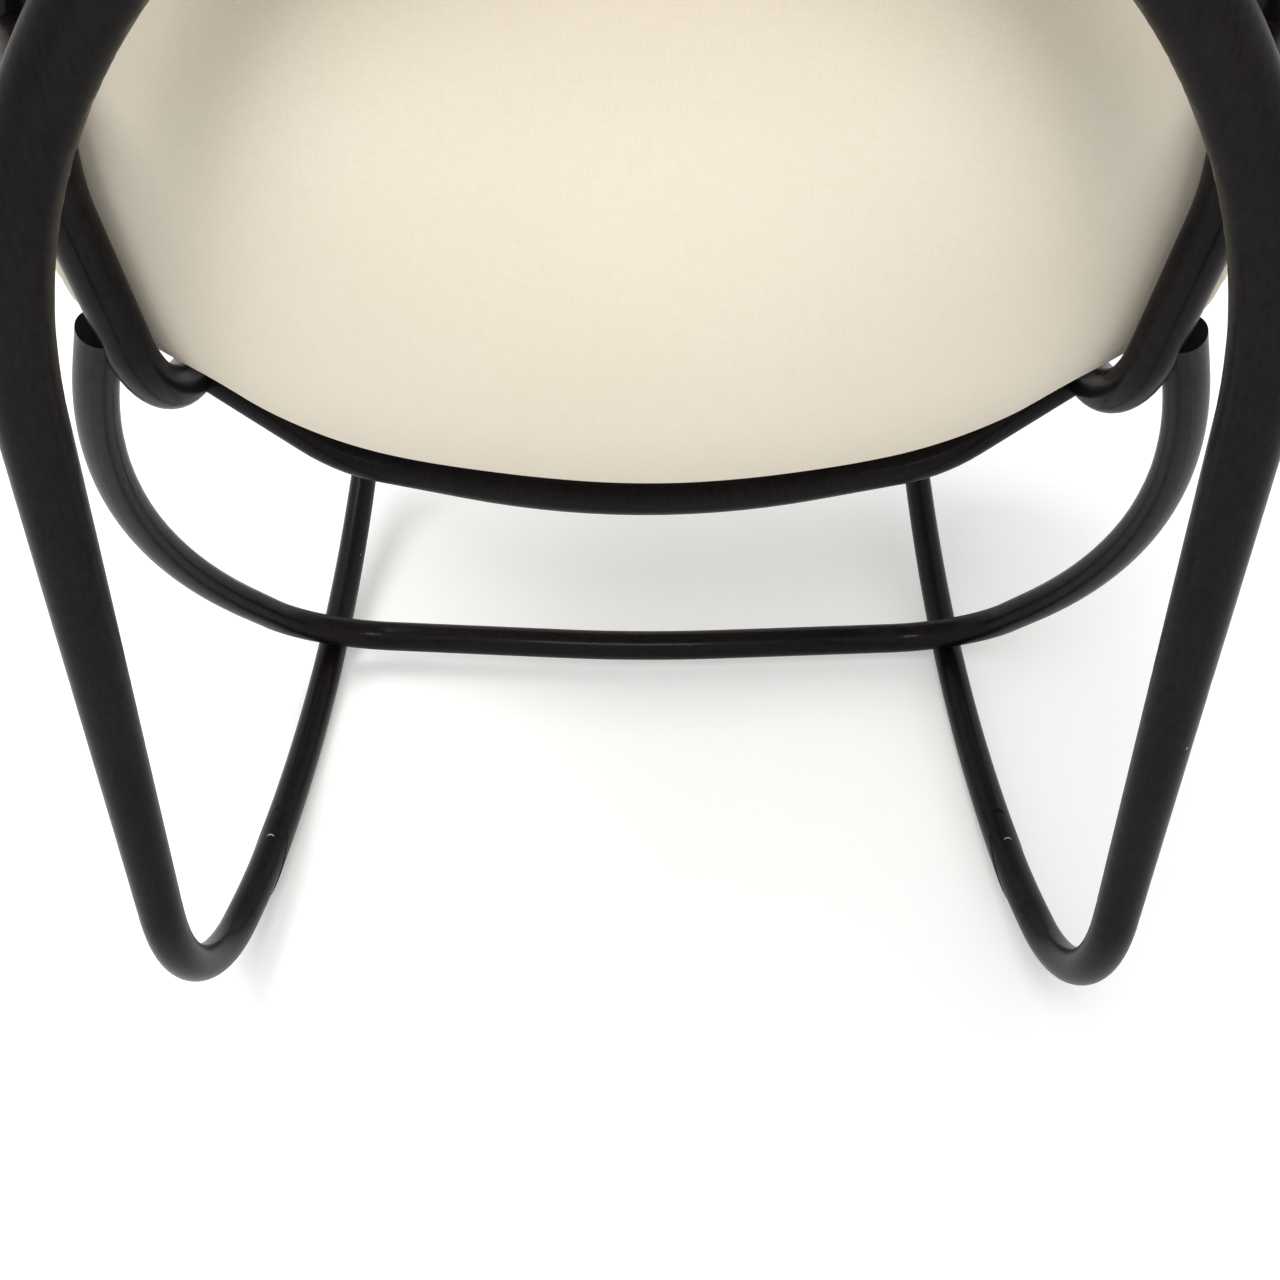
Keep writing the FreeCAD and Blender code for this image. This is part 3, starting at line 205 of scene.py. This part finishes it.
def lacquered_wood():
    """Near-black brown stain under a semi-gloss lacquer, with a faint grain and a few pale nicks."""
    made, tree_nodes, links, shader = material("lacquered_wood")
    place = node_of(tree_nodes, "ShaderNodeTexCoord")
    stretch = node_of(tree_nodes, "ShaderNodeMapping", Scale=(1.0, 0.35, 0.35))
    links.new(place.outputs["Object"], stretch.inputs["Vector"])
    grain = node_of(tree_nodes, "ShaderNodeTexNoise", Scale=420.0, Detail=6.0, Roughness=0.65)
    links.new(stretch.outputs["Vector"], grain.inputs["Vector"])
    clouds = node_of(tree_nodes, "ShaderNodeTexNoise", Scale=9.0, Detail=3.0)
    links.new(place.outputs["Object"], clouds.inputs["Vector"])
    stain = colour_ramp(tree_nodes, [(0.30, (0.0040, 0.0034, 0.0044)), (0.70, (0.0085, 0.0062, 0.0070))])
    links.new(clouds.outputs["Fac"], stain.inputs["Fac"])
    pores = colour_ramp(tree_nodes, [(0.35, grey(0.55)), (0.60, grey(1.15))])
    links.new(grain.outputs["Fac"], pores.inputs["Fac"])
    tone = node_of(tree_nodes, "ShaderNodeMixRGB", blend_type="MULTIPLY")
    tone.inputs["Fac"].default_value = 1.0
    links.new(stain.outputs["Color"], tone.inputs["Color1"])
    links.new(pores.outputs["Color"], tone.inputs["Color2"])
    nicks = node_of(tree_nodes, "ShaderNodeTexVoronoi", Scale=62.0)
    links.new(place.outputs["Object"], nicks.inputs["Vector"])
    rare = node_of(tree_nodes, "ShaderNodeTexNoise", Scale=26.0, Detail=1.0)
    links.new(place.outputs["Object"], rare.inputs["Vector"])
    near = node_of(tree_nodes, "ShaderNodeMath", operation="LESS_THAN")
    near.inputs[1].default_value = 0.055
    links.new(nicks.outputs["Distance"], near.inputs[0])
    seldom = node_of(tree_nodes, "ShaderNodeMath", operation="GREATER_THAN")
    seldom.inputs[1].default_value = 0.70
    links.new(rare.outputs["Fac"], seldom.inputs[0])
    chip = node_of(tree_nodes, "ShaderNodeMath", operation="MULTIPLY")
    links.new(near.outputs["Value"], chip.inputs[0])
    links.new(seldom.outputs["Value"], chip.inputs[1])
    worn = node_of(tree_nodes, "ShaderNodeMixRGB")
    worn.inputs["Color2"].default_value = (0.30, 0.22, 0.14, 1.0)
    links.new(chip.outputs["Value"], worn.inputs["Fac"])
    links.new(tone.outputs["Color"], worn.inputs["Color1"])
    links.new(worn.outputs["Color"], shader.inputs["Base Color"])
    dull = node_of(tree_nodes, "ShaderNodeMapRange", To_Min=0.27, To_Max=0.40)
    links.new(clouds.outputs["Fac"], dull.inputs["Value"])
    links.new(dull.outputs["Result"], shader.inputs["Roughness"])
    bump = node_of(tree_nodes, "ShaderNodeBump", Strength=0.05, Distance=0.0004)
    links.new(grain.outputs["Fac"], bump.inputs["Height"])
    links.new(bump.outputs["Normal"], shader.inputs["Normal"])
    shader.inputs["Specular IOR Level"].default_value = 0.06
    shader.inputs["Coat Weight"].default_value = 0.08
    shader.inputs["Coat Roughness"].default_value = 0.08
    return made


def bare_wood(name, light, dark):
    made, tree_nodes, links, shader = material(name)
    place = node_of(tree_nodes, "ShaderNodeTexCoord")
    grain = node_of(tree_nodes, "ShaderNodeTexNoise", Scale=240.0, Detail=5.0)
    links.new(place.outputs["Object"], grain.inputs["Vector"])
    tone = colour_ramp(tree_nodes, [(0.35, dark), (0.65, light)])
    links.new(grain.outputs["Fac"], tone.inputs["Fac"])
    links.new(tone.outputs["Color"], shader.inputs["Base Color"])
    bump = node_of(tree_nodes, "ShaderNodeBump", Strength=0.2, Distance=0.0003)
    links.new(grain.outputs["Fac"], bump.inputs["Height"])
    links.new(bump.outputs["Normal"], shader.inputs["Normal"])
    shader.inputs["Roughness"].default_value = 0.6
    return made


def metal(name, light, dark, roughness):
    made, tree_nodes, links, shader = material(name)
    place = node_of(tree_nodes, "ShaderNodeTexCoord")
    scratches = node_of(tree_nodes, "ShaderNodeTexNoise", Scale=900.0, Detail=4.0)
    links.new(place.outputs["Object"], scratches.inputs["Vector"])
    tone = colour_ramp(tree_nodes, [(0.3, dark), (0.7, light)])
    links.new(scratches.outputs["Fac"], tone.inputs["Fac"])
    links.new(tone.outputs["Color"], shader.inputs["Base Color"])
    dull = node_of(tree_nodes, "ShaderNodeMapRange", To_Min=roughness, To_Max=roughness + 0.15)
    links.new(scratches.outputs["Fac"], dull.inputs["Value"])
    links.new(dull.outputs["Result"], shader.inputs["Roughness"])
    shader.inputs["Metallic"].default_value = 1.0
    return made


def canvas():
    """Cream plain-weave canvas: warp and weft ribs, uneven threads, soft clouds and painted shade that
    makes the top of the back darker and warmer.
    """
    made, tree_nodes, links, shader = material("canvas")
    place = node_of(tree_nodes, "ShaderNodeUVMap", uv_map="metres")
    thread_scale = WAVE_PERIOD / THREAD_PITCH
    thin = 1.0 / SLUB_STRETCH
    ribs = []
    slubs = []
    for direction, stretch in (("X", (1.0, thin, 1.0)), ("Y", (thin, 1.0, 1.0))):
        wave = node_of(tree_nodes, "ShaderNodeTexWave", bands_direction=direction,
                       Scale=thread_scale, Distortion=0.6)
        links.new(place.outputs["UV"], wave.inputs["Vector"])
        ribs.append(wave)
        along = node_of(tree_nodes, "ShaderNodeMapping", Scale=stretch)
        links.new(place.outputs["UV"], along.inputs["Vector"])
        slub = node_of(tree_nodes, "ShaderNodeTexNoise", Scale=SLUB_STRETCH / SLUB_LENGTH, Detail=2.0)
        links.new(along.outputs["Vector"], slub.inputs["Vector"])
        slubs.append(slub)
    weave = node_of(tree_nodes, "ShaderNodeMath", operation="MULTIPLY")
    links.new(ribs[0].outputs["Fac"], weave.inputs[0])
    links.new(ribs[1].outputs["Fac"], weave.inputs[1])
    uneven = node_of(tree_nodes, "ShaderNodeMath", operation="ADD")
    links.new(slubs[0].outputs["Fac"], uneven.inputs[0])
    links.new(slubs[1].outputs["Fac"], uneven.inputs[1])
    threads = colour_ramp(tree_nodes, [(0.70, (0.838, 0.760, 0.618)), (0.90, (0.850, 0.774, 0.637)),
                                       (1.0, (0.858, 0.784, 0.650))])
    thickness = node_of(tree_nodes, "ShaderNodeMath", operation="MULTIPLY")
    thickness.inputs[1].default_value = 0.9
    links.new(uneven.outputs["Value"], thickness.inputs[0])
    links.new(thickness.outputs["Value"], threads.inputs["Fac"])
    space = node_of(tree_nodes, "ShaderNodeTexCoord")
    clouds = node_of(tree_nodes, "ShaderNodeTexNoise", Scale=5.0, Detail=3.0)
    links.new(space.outputs["Object"], clouds.inputs["Vector"])
    age = colour_ramp(tree_nodes, [(0.35, (0.975, 0.970, 0.955)), (0.65, (1.0, 1.0, 1.0))])
    links.new(clouds.outputs["Fac"], age.inputs["Fac"])
    tone = node_of(tree_nodes, "ShaderNodeMixRGB", blend_type="MULTIPLY")
    tone.inputs["Fac"].default_value = 1.0
    links.new(threads.outputs["Color"], tone.inputs["Color1"])
    links.new(age.outputs["Color"], tone.inputs["Color2"])
    # Painted shade: the colour is multiplied darker and warmer towards the top of the back, by height in
    # object space.
    split = node_of(tree_nodes, "ShaderNodeSeparateXYZ")
    links.new(space.outputs["Object"], split.inputs["Vector"])
    height = node_of(tree_nodes, "ShaderNodeMapRange", interpolation_type="SMOOTHSTEP",
                     From_Min=PAINTED_SHADE_FROM, From_Max=PAINTED_SHADE_TO)
    links.new(split.outputs["Z"], height.inputs["Value"])
    painted_top_shade = node_of(tree_nodes, "ShaderNodeMixRGB", blend_type="MULTIPLY")
    painted_top_shade.inputs["Color2"].default_value = (0.86, 0.82, 0.76, 1.0)
    links.new(height.outputs["Result"], painted_top_shade.inputs["Fac"])
    links.new(tone.outputs["Color"], painted_top_shade.inputs["Color1"])
    links.new(painted_top_shade.outputs["Color"], shader.inputs["Base Color"])
    relief = node_of(tree_nodes, "ShaderNodeMath", operation="MULTIPLY_ADD")
    relief.inputs[1].default_value = 0.6
    links.new(uneven.outputs["Value"], relief.inputs[0])
    links.new(weave.outputs["Value"], relief.inputs[2])
    bump = node_of(tree_nodes, "ShaderNodeBump", Strength=0.25, Distance=0.0003)
    links.new(relief.outputs["Value"], bump.inputs["Height"])
    links.new(bump.outputs["Normal"], shader.inputs["Normal"])
    shader.inputs["Roughness"].default_value = 0.88
    shader.inputs["Sheen Weight"].default_value = 0.15
    shader.inputs["Sheen Roughness"].default_value = 0.5
    shader.inputs["Specular IOR Level"].default_value = 0.25
    return made


def seen_directly(tree_nodes, links):
    """1 for rays from the camera and in reflections and glass, 0 for the light that falls on things."""
    path = node_of(tree_nodes, "ShaderNodeLightPath")
    mirrored = node_of(tree_nodes, "ShaderNodeMath", operation="MAXIMUM")
    links.new(path.outputs["Is Glossy Ray"], mirrored.inputs[0])
    links.new(path.outputs["Is Transmission Ray"], mirrored.inputs[1])
    seen = node_of(tree_nodes, "ShaderNodeMath", operation="MAXIMUM")
    links.new(path.outputs["Is Camera Ray"], seen.inputs[0])
    links.new(mirrored.outputs["Value"], seen.inputs[1])
    return seen


def floor_white():
    """White floor that keeps its shadows. What is seen of it is lifted to white, most of all far away."""
    made, tree_nodes, links, shader = material("floor_white")
    tree_nodes.remove(shader)
    out = tree_nodes["Material Output"]
    diffuse = node_of(tree_nodes, "ShaderNodeBsdfDiffuse", Color=(0.86, 0.86, 0.86, 1.0))
    glow = node_of(tree_nodes, "ShaderNodeEmission", Color=(1.0, 1.0, 1.0, 1.0))
    seen = seen_directly(tree_nodes, links)
    place = node_of(tree_nodes, "ShaderNodeTexCoord")
    away = node_of(tree_nodes, "ShaderNodeVectorMath", operation="LENGTH")
    links.new(place.outputs["Object"], away.inputs[0])
    fade = node_of(tree_nodes, "ShaderNodeMapRange", From_Min=FLOOR_NEAR, From_Max=FLOOR_FAR,
                   To_Min=FLOOR_LIFT, To_Max=FLOOR_FAR_LIFT)
    links.new(away.outputs["Value"], fade.inputs["Value"])
    lift = node_of(tree_nodes, "ShaderNodeMath", operation="MULTIPLY")
    links.new(fade.outputs["Result"], lift.inputs[1])
    links.new(seen.outputs["Value"], lift.inputs[0])
    links.new(lift.outputs["Value"], glow.inputs["Strength"])
    both = node_of(tree_nodes, "ShaderNodeAddShader")
    links.new(diffuse.outputs["BSDF"], both.inputs[0])
    links.new(glow.outputs["Emission"], both.inputs[1])
    links.new(both.outputs["Shader"], out.inputs["Surface"])
    return made


# Side view of the pad: a place along the profile is measured from the front edge, over the seat,
# round the bend and up the back.


class Section:
    """Cross-section of the pad at a length along its profile."""

    def __init__(self, length):
        self.length = length
        self.low_shift = [0.0] * (SHIFT_STEPS + 1)
        self.high_shift = [0.0] * (SHIFT_STEPS + 1)
        from_end = min(length, PROFILE_LENGTH - length)
        nose = between(from_end, 0.0, PAD_NOSE)
        fullness = math.sqrt(1.0 - (1.0 - nose) ** 2)
        swell = mix(PAD_NOSE_SHARE, 1.0, fullness)
        self.place_on_profile()
        self.half -= PAD_CORNER_DRAW * (1.0 - fullness)
        near_bend = 1.0 - between(abs(length - SEAT_RUN - BEND_LENGTH / 2.0) - BEND_LENGTH / 2.0,
                                  BEND_EASING, 2.0 * BEND_EASING)
        self.edge = mix(PAD_EDGE, PAD_WAIST_EDGE, smooth(near_bend)) * swell
        self.thickness *= swell
        bow = 2.0 * (self.drop + REST_GAP) / (self.rod_half ** 2 + self.drop ** 2 - REST_GAP ** 2)
        self.radius = 1.0 / max(bow, 1.0 / PAD_FLATTEST_RADIUS)

    def place_on_profile(self):
        """Origin on the rods' centre line, direction towards the sitter and the sizes there."""
        past_seat = self.length - SEAT_RUN
        past_bend = past_seat - BEND_LENGTH
        self.rise = BEND_REACH + past_bend
        depth = PAD_FRONT + self.length
        centre = Vector((0.0, BEND_DEPTH, SEAT_HEIGHT + BEND_RADIUS))
        if past_seat <= 0.0:
            self.origin = Vector((0.0, depth, SEAT_HEIGHT))
        elif past_bend <= 0.0:
            turned = past_seat / BEND_RADIUS
            self.origin = centre + Vector((0.0, math.sin(turned), -math.cos(turned))) * BEND_RADIUS
        else:
            lean = math.radians(RECLINE)
            foot = Vector((0.0, BACK_CORNER_DEPTH, SEAT_HEIGHT))
            self.origin = foot + Vector((0.0, math.sin(lean), math.cos(lean))) * self.rise
        turn = smooth(between(past_seat, -BEND_EASING, BEND_LENGTH + BEND_EASING)) * math.radians(BEND_TURN)
        self.normal = Vector((0.0, -math.sin(turn), math.cos(turn)))
        if past_bend <= 0.0:
            self.size_on_seat(min(depth, BEND_DEPTH))
        else:
            self.size_on_back()
        self.thickness = mix(PAD_SEAT_THICKNESS, PAD_BACK_THICKNESS, between(past_seat, 0.0, BEND_LENGTH))

    def size_on_seat(self, depth):
        share = (depth - LEG_JOINT_DEPTH) / (BACK_CORNER_DEPTH - LEG_JOINT_DEPTH)
        self.rod_half = mix(SEAT_ROD_FRONT_HALF, SEAT_ROD_REAR_HALF, share)
        to_waist = between(depth, LEG_JOINT_DEPTH, BEND_DEPTH)
        self.drop = mix(DROP_FRONT, DROP_WAIST, to_waist)
        self.half = mix(PAD_SEAT_HALF, PAD_WAIST_HALF, to_waist)

    def size_on_back(self):
        leaning = max(self.rise - STILE_BEND_RISE, 0.0)
        self.rod_half = SEAT_ROD_REAR_HALF - leaning * math.tan(math.radians(STILE_LEAN))
        top_rod_rise = BACK_FRAME_RISE - 2.0 * ROD_RADIUS
        easing = (1.0 - math.cos(math.pi * between(self.rise, BEND_REACH, CROWN_RISE))) / 2.0
        self.drop = mix(DROP_WAIST, DROP_CROWN, easing)
        self.drop -= (DROP_CROWN + REST_GAP) * smooth(between(self.rise, CROWN_RISE, top_rod_rise))
        to_back = smooth(between(self.rise, BEND_REACH, PAD_BACK_HALF_RISE))
        to_top = smooth(between(self.rise, PAD_BACK_HALF_RISE, PAD_TOP - PAD_NOSE))
        self.half = mix(mix(PAD_WAIST_HALF, PAD_BACK_HALF, to_back), PAD_UPPER_HALF, to_top)

    def low(self, across):
        """Height of the underside above the rods' centre line."""
        arc = self.radius - self.drop - math.sqrt(self.radius ** 2 - across ** 2)
        return arc + self.shift_at(self.low_shift, across)

    def high(self, across):
        """Height of the upper face, dished between its two edges."""
        edge_half = self.half - PAD_SIDE_DRAW
        middle = self.thickness - self.drop
        edge = self.low(self.half) + self.edge
        return mix(middle, edge, (across / edge_half) ** 2) + self.shift_at(self.high_shift, across)

    def shift_at(self, shifts, across):
        """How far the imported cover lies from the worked-out height at a place across the section."""
        place = between(across, -self.half * RIM_SHARE, self.half * RIM_SHARE) * SHIFT_STEPS
        before = min(int(place), SHIFT_STEPS - 1)
        return mix(shifts[before], shifts[before + 1], place - before)

    def measure(self, surface, height, way):
        """The same shifts, found by rays along the section's normal. None where a ray meets nothing."""
        found = []
        for step in range(SHIFT_STEPS + 1):
            across = self.half * RIM_SHARE * (2.0 * step / SHIFT_STEPS - 1.0)
            start = self.at(across, height(across) - way * SNAP_REACH)
            distance = surface.ray_cast(start, self.normal * way, 2.0 * SNAP_REACH)[3]
            found.append(None if distance is None else (distance - SNAP_REACH) * way)
        return found

    def softness(self, across):
        """From 0 at the seams to 1 over the foam."""
        from_side = between(self.half - abs(across), 0.0, SOFT_EDGE)
        from_end = between(min(self.length, PROFILE_LENGTH - self.length), 0.0, SOFT_EDGE)
        return smooth(from_side) * smooth(from_end)

    def at(self, across, height):
        return self.origin + Vector((across, 0.0, 0.0)) + self.normal * height


def packed_surface(name):
    mesh = nodes[name].data
    return BVHTree.FromPolygons([vertex.co for vertex in mesh.vertices],
                                [tuple(face.vertices) for face in mesh.polygons])


def evened(measured):
    """Shifts of all the sections, with the gaps filled from their neighbours and small jumps evened out."""
    rows = []
    for row in measured:
        near = rows[-1] if rows else [0.0] * (SHIFT_STEPS + 1)
        rows.append([old if found is None else found for found, old in zip(row, near)])
    rows[0] = rows[1] = rows[2]
    for _ in range(SHIFT_EVENING):
        before = rows[:1] + rows[:-1]
        after = rows[1:] + rows[-1:]
        rows = [[(one + 2.0 * two + three) / 4.0 for one, two, three in zip(*trio)]
                for trio in zip(before, rows, after)]
    return rows


def fit_to_packed(sections):
    """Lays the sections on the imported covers."""
    rear = packed_surface("rear_cover")
    for section, shifts in zip(sections, evened([one.measure(rear, one.low, 1.0) for one in sections])):
        section.low_shift = shifts
    front = packed_surface("front_cover")
    for section, shifts in zip(sections, evened([one.measure(front, one.high, -1.0) for one in sections])):
        section.high_shift = shifts


def swell_at(section, across):
    """How far the rear panel stands out at a place, from its soft swells."""
    total = 0.0
    for middle, rise, half_width, half_height, amount in PANEL_SWELLS:
        far = ((across - middle) / half_width) ** 2 + ((section.rise - rise) / half_height) ** 2
        total += amount * math.exp(-far)
    fade_start = section.rod_half - SWELL_FADE_START
    fade_end = section.rod_half - SWELL_FADE_END
    return total * (1.0 - smooth(between(abs(across), fade_start, fade_end)))


def ring(section, sunk):
    """Closed line of points (across, height) round a section: underside, right side, top, left side."""
    points = []
    for step in range(LOW_STEPS + 1):
        across = section.half * (2.0 * step / LOW_STEPS - 1.0)
        points.append((across, section.low(across) - swell_at(section, across)))
    foot = Vector((section.half, section.low(section.half)))
    corner_half = section.half - PAD_SIDE_DRAW
    corner = Vector((corner_half, section.high(corner_half)))
    round_size = min(PAD_CORNER_ROUND, section.edge / 2.0)
    side_end = corner + (foot - corner).normalized() * round_size
    top_start = Vector((corner_half - round_size, section.high(corner_half - round_size)))
    side = []
    for step in range(1, SIDE_STEPS + 1):
        side.append(foot.lerp(side_end, step / SIDE_STEPS))
    for step in range(1, ROUND_STEPS + 1):
        share = step / ROUND_STEPS
        side.append(side_end.lerp(corner, share).lerp(corner.lerp(top_start, share), share))
    points.extend((point.x, point.y) for point in side)
    for step in range(1, TOP_STEPS):
        across = top_start.x * (1.0 - 2.0 * step / TOP_STEPS)
        points.append((across, section.high(across) - sunk * section.softness(across)))
    points.extend((-point.x, point.y) for point in reversed(side))
    return points


def profile_lengths():
    """Places of the sections along the profile, closer together over the noses."""
    lengths = []
    for step in range(NOSE_STEPS):
        lengths.append(PAD_NOSE * (1.0 - math.cos(math.pi / 2.0 * step / NOSE_STEPS)))
    middle = PROFILE_LENGTH - 2.0 * PAD_NOSE
    steps = round(middle / STATION_SPACING)
    for step in range(steps + 1):
        lengths.append(PAD_NOSE + middle * step / steps)
    for length in reversed(lengths[:NOSE_STEPS]):
        lengths.append(PROFILE_LENGTH - length)
    return lengths


def shown(name, mesh):
    made = bpy.data.objects.new(name, mesh)
    bpy.context.scene.collection.objects.link(made)
    return made


def pad_mesh(sections, rings):
    """Closed quad mesh of the pad, with its lengths in metres as texture coordinates."""
    count = len(rings[0])
    made = bmesh.new()
    uv = made.loops.layers.uv.new("metres")
    rows = []
    around = []
    for section, points in zip(sections, rings):
        rows.append([made.verts.new(section.at(*point)) for point in points])
        walked = [0.0]
        for before, after in zip(points, points[1:] + points[:1]):
            walked.append(walked[-1] + math.dist(before, after))
        around.append(walked)
    for row, (near, far) in enumerate(zip(rows, rows[1:])):
        for step in range(count):
            ahead = (step + 1) % count
            face = made.faces.new((near[step], near[ahead], far[ahead], far[step]))
            places = ((row, step), (row, step + 1), (row + 1, step + 1), (row + 1, step))
            for loop, (number, part) in zip(face.loops, places):
                middle = around[number][LOW_STEPS] / 2.0
                loop[uv].uv = (around[number][part] - middle, sections[number].length)
    for row, reverse in ((rows[0], True), (rows[-1], False)):
        for step in range(LOW_STEPS):
            upper = (count - step) % count
            corners = [row[step], row[step + 1], row[count - step - 1], row[upper]]
            corners = list(dict.fromkeys(corners))
            face = made.faces.new(reversed(corners) if reverse else corners)
            for loop in face.loops:
                loop[uv].uv = (loop.vert.co.x, loop.vert.co.z)
    bmesh.ops.recalc_face_normals(made, faces=made.faces)
    mesh = bpy.data.meshes.new("pad")
    made.to_mesh(mesh)
    made.free()
    mesh.shade_smooth()
    return mesh


def swell_with_cloth(pad, firmness):
    """Lets the cover swell under the foam's pressure. firmness holds how far each point may move."""
    start = [vertex.co.copy() for vertex in pad.data.vertices]
    seams = pad.vertex_groups.new(name="seams")
    seams.add([number for number, most in enumerate(firmness) if most == 0.0], 1.0, "REPLACE")
    cloth = pad.modifiers.new("swell", "CLOTH")
    cloth.settings.vertex_group_mass = "seams"
    cloth.settings.use_pressure = True
    cloth.settings.uniform_pressure_force = CLOTH_PRESSURE
    cloth.settings.effector_weights.gravity = 0.0
    cloth.settings.quality = 5
    cloth.settings.tension_stiffness = 40.0
    cloth.settings.compression_stiffness = 40.0
    cloth.settings.bending_stiffness = 4.0
    cloth.settings.mass = 0.3
    cloth.point_cache.frame_start = 1
    cloth.point_cache.frame_end = CLOTH_FRAMES
    for number in range(1, CLOTH_FRAMES + 1):
        bpy.context.scene.frame_set(number)
    swollen = pad.evaluated_get(bpy.context.evaluated_depsgraph_get())
    places = [vertex.co.copy() for vertex in swollen.data.vertices]
    pad.modifiers.remove(cloth)
    bpy.context.scene.frame_set(1)
    for vertex, old, new, most in zip(pad.data.vertices, start, places, firmness):
        move = new - old
        if move.length > most:
            move *= most / move.length
        vertex.co = old + move
    pad.data.update()


def firmness_of(sections, rings):
    """The underside is drawn tight over its board and the rods, and the top is soft foam."""
    most = []
    for section, points in zip(sections, rings):
        for number, (across, _) in enumerate(points):
            most.append(0.0 if number <= LOW_STEPS else CLOTH_CAP * section.softness(across))
    return most


def upholstery():
    """Pad and welt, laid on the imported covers."""
    sections = [Section(length) for length in profile_lengths()]
    fit_to_packed(sections)
    rings = [ring(section, CLOTH_START) for section in sections]
    pad = shown("pad", pad_mesh(sections, rings))
    swell_with_cloth(pad, firmness_of(sections, rings))
    fine = pad.modifiers.new("fine", "SUBSURF")
    fine.levels = 1
    fine.render_levels = 1
    pad.data.materials.append(canvas_material)
    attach(pad, "root")
    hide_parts("rear_cover", "front_cover", "cover_ends", "seat_foam", "back_foam")
    piping(sections)


def piping(sections):
    """Welt round the rim, on the seam between the rear panel and the front."""
    right = [section.at(section.half, section.low(section.half)) for section in sections]
    left = [section.at(-section.half, section.low(section.half)) for section in sections]
    front = []
    top = []
    for step in range(1, PIPING_STEPS):
        share = 2.0 * step / PIPING_STEPS - 1.0
        for row, section in ((front, sections[0]), (top, sections[-1])):
            row.append(section.at(section.half * share, section.low(section.half * share)))
    path = right + list(reversed(top)) + list(reversed(left)) + front
    curve = bpy.data.curves.new("piping", "CURVE")
    curve.dimensions = "3D"
    curve.bevel_depth = PIPING_RADIUS
    curve.bevel_resolution = 4
    spline = curve.splines.new("POLY")
    spline.points.add(len(path) - 1)
    for point, place in zip(spline.points, path):
        point.co = (*place, 1.0)
    spline.use_cyclic_u = True
    tube = shown("piping_curve", curve)
    mesh = bpy.data.meshes.new_from_object(tube)
    bpy.data.objects.remove(tube)
    mesh.shade_smooth()
    uv = mesh.uv_layers.active or mesh.uv_layers.new(name="metres")
    uv.name = "metres"
    for loop in mesh.loops:
        place = mesh.vertices[loop.vertex_index].co
        uv.data[loop.index].uv = (place.x + place.y, place.z)
    welt = shown("piping", mesh)
    welt.data.materials.clear()
    welt.data.materials.append(canvas_material)
    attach(welt, "root")


def paint_frame():
    """Better materials on the frame and its fasteners."""
    wood = lacquered_wood()
    pale = bare_wood("bare_beech", (0.52, 0.38, 0.24), (0.42, 0.29, 0.17))
    board = bare_wood("plywood", (0.47, 0.34, 0.21), (0.38, 0.26, 0.15))
    steel = metal("zinc_steel", (0.52, 0.52, 0.53), (0.36, 0.36, 0.38), 0.28)
    brass = metal("turned_brass", (0.72, 0.53, 0.24), (0.58, 0.41, 0.17), 0.25)
    by_slot = {"dark_wood": wood, "pale_wood": pale, "plywood": board, "steel": steel, "brass": brass,
               "canvas": canvas_material, "foam": canvas_material}
    for row in frame["record"]["subparts"]:
        thing = nodes[row["node"]]
        thing.data.materials.clear()
        thing.data.materials.append(by_slot[row["material_slot"]])


def floor():
    half = FLOOR_HALF
    corners = [(-half, -half, 0), (half, -half, 0), (half, half, 0), (-half, half, 0)]
    mesh = bpy.data.meshes.new("floor")
    mesh.from_pydata(corners, [], [(0, 1, 2, 3)])
    made = shown("floor", mesh)
    made.data.materials.append(floor_white())


def aimed(name, place, target, width, power):
    """Square area lamp at a place, turned towards its target."""
    light = bpy.data.lights.new(name, "AREA")
    light.shape = "RECTANGLE"
    light.size = width
    light.size_y = width
    light.energy = power
    lamp = bpy.data.objects.new(name, light)
    bpy.context.scene.collection.objects.link(lamp)
    way = Vector(target) - Vector(place)
    lamp.location = place
    lamp.rotation_euler = way.to_track_quat("-Z", "Y").to_euler()


def studio():
    """White world, two lamps and the camera."""
    scene = bpy.context.scene
    scene.view_settings.view_transform = "Standard"
    world = bpy.data.worlds.new("studio")
    world.use_nodes = True
    scene.world = world
    tree_nodes = world.node_tree.nodes
    links = world.node_tree.links
    light = tree_nodes["Background"]
    light.inputs["Color"].default_value = (1.0, 1.0, 1.0, 1.0)
    seen = seen_directly(tree_nodes, links)
    level = node_of(tree_nodes, "ShaderNodeMapRange", To_Min=WORLD_STRENGTH, To_Max=1.0)
    links.new(seen.outputs["Value"], level.inputs["Value"])
    links.new(level.outputs["Result"], light.inputs["Strength"])
    aimed("key", *KEY_LAMP)
    aimed("window", *WINDOW_LAMP)
    camera = bpy.data.objects.new("camera", bpy.data.cameras.new("camera"))
    scene.collection.objects.link(camera)
    camera.data.sensor_width = SENSOR
    camera.data.lens = LENS
    camera.matrix_world = (
        Matrix.Translation(CAMERA_PLACE)
        @ Matrix.Rotation(math.pi, 4, "Z")
        @ Matrix.Rotation(math.radians(90.0 - CAMERA_PITCH), 4, "X")
        @ Matrix.Rotation(math.radians(CAMERA_ROLL), 4, "Z"))
    scene.camera = camera


canvas_material = canvas()
paint_frame()
upholstery()
floor()
studio()
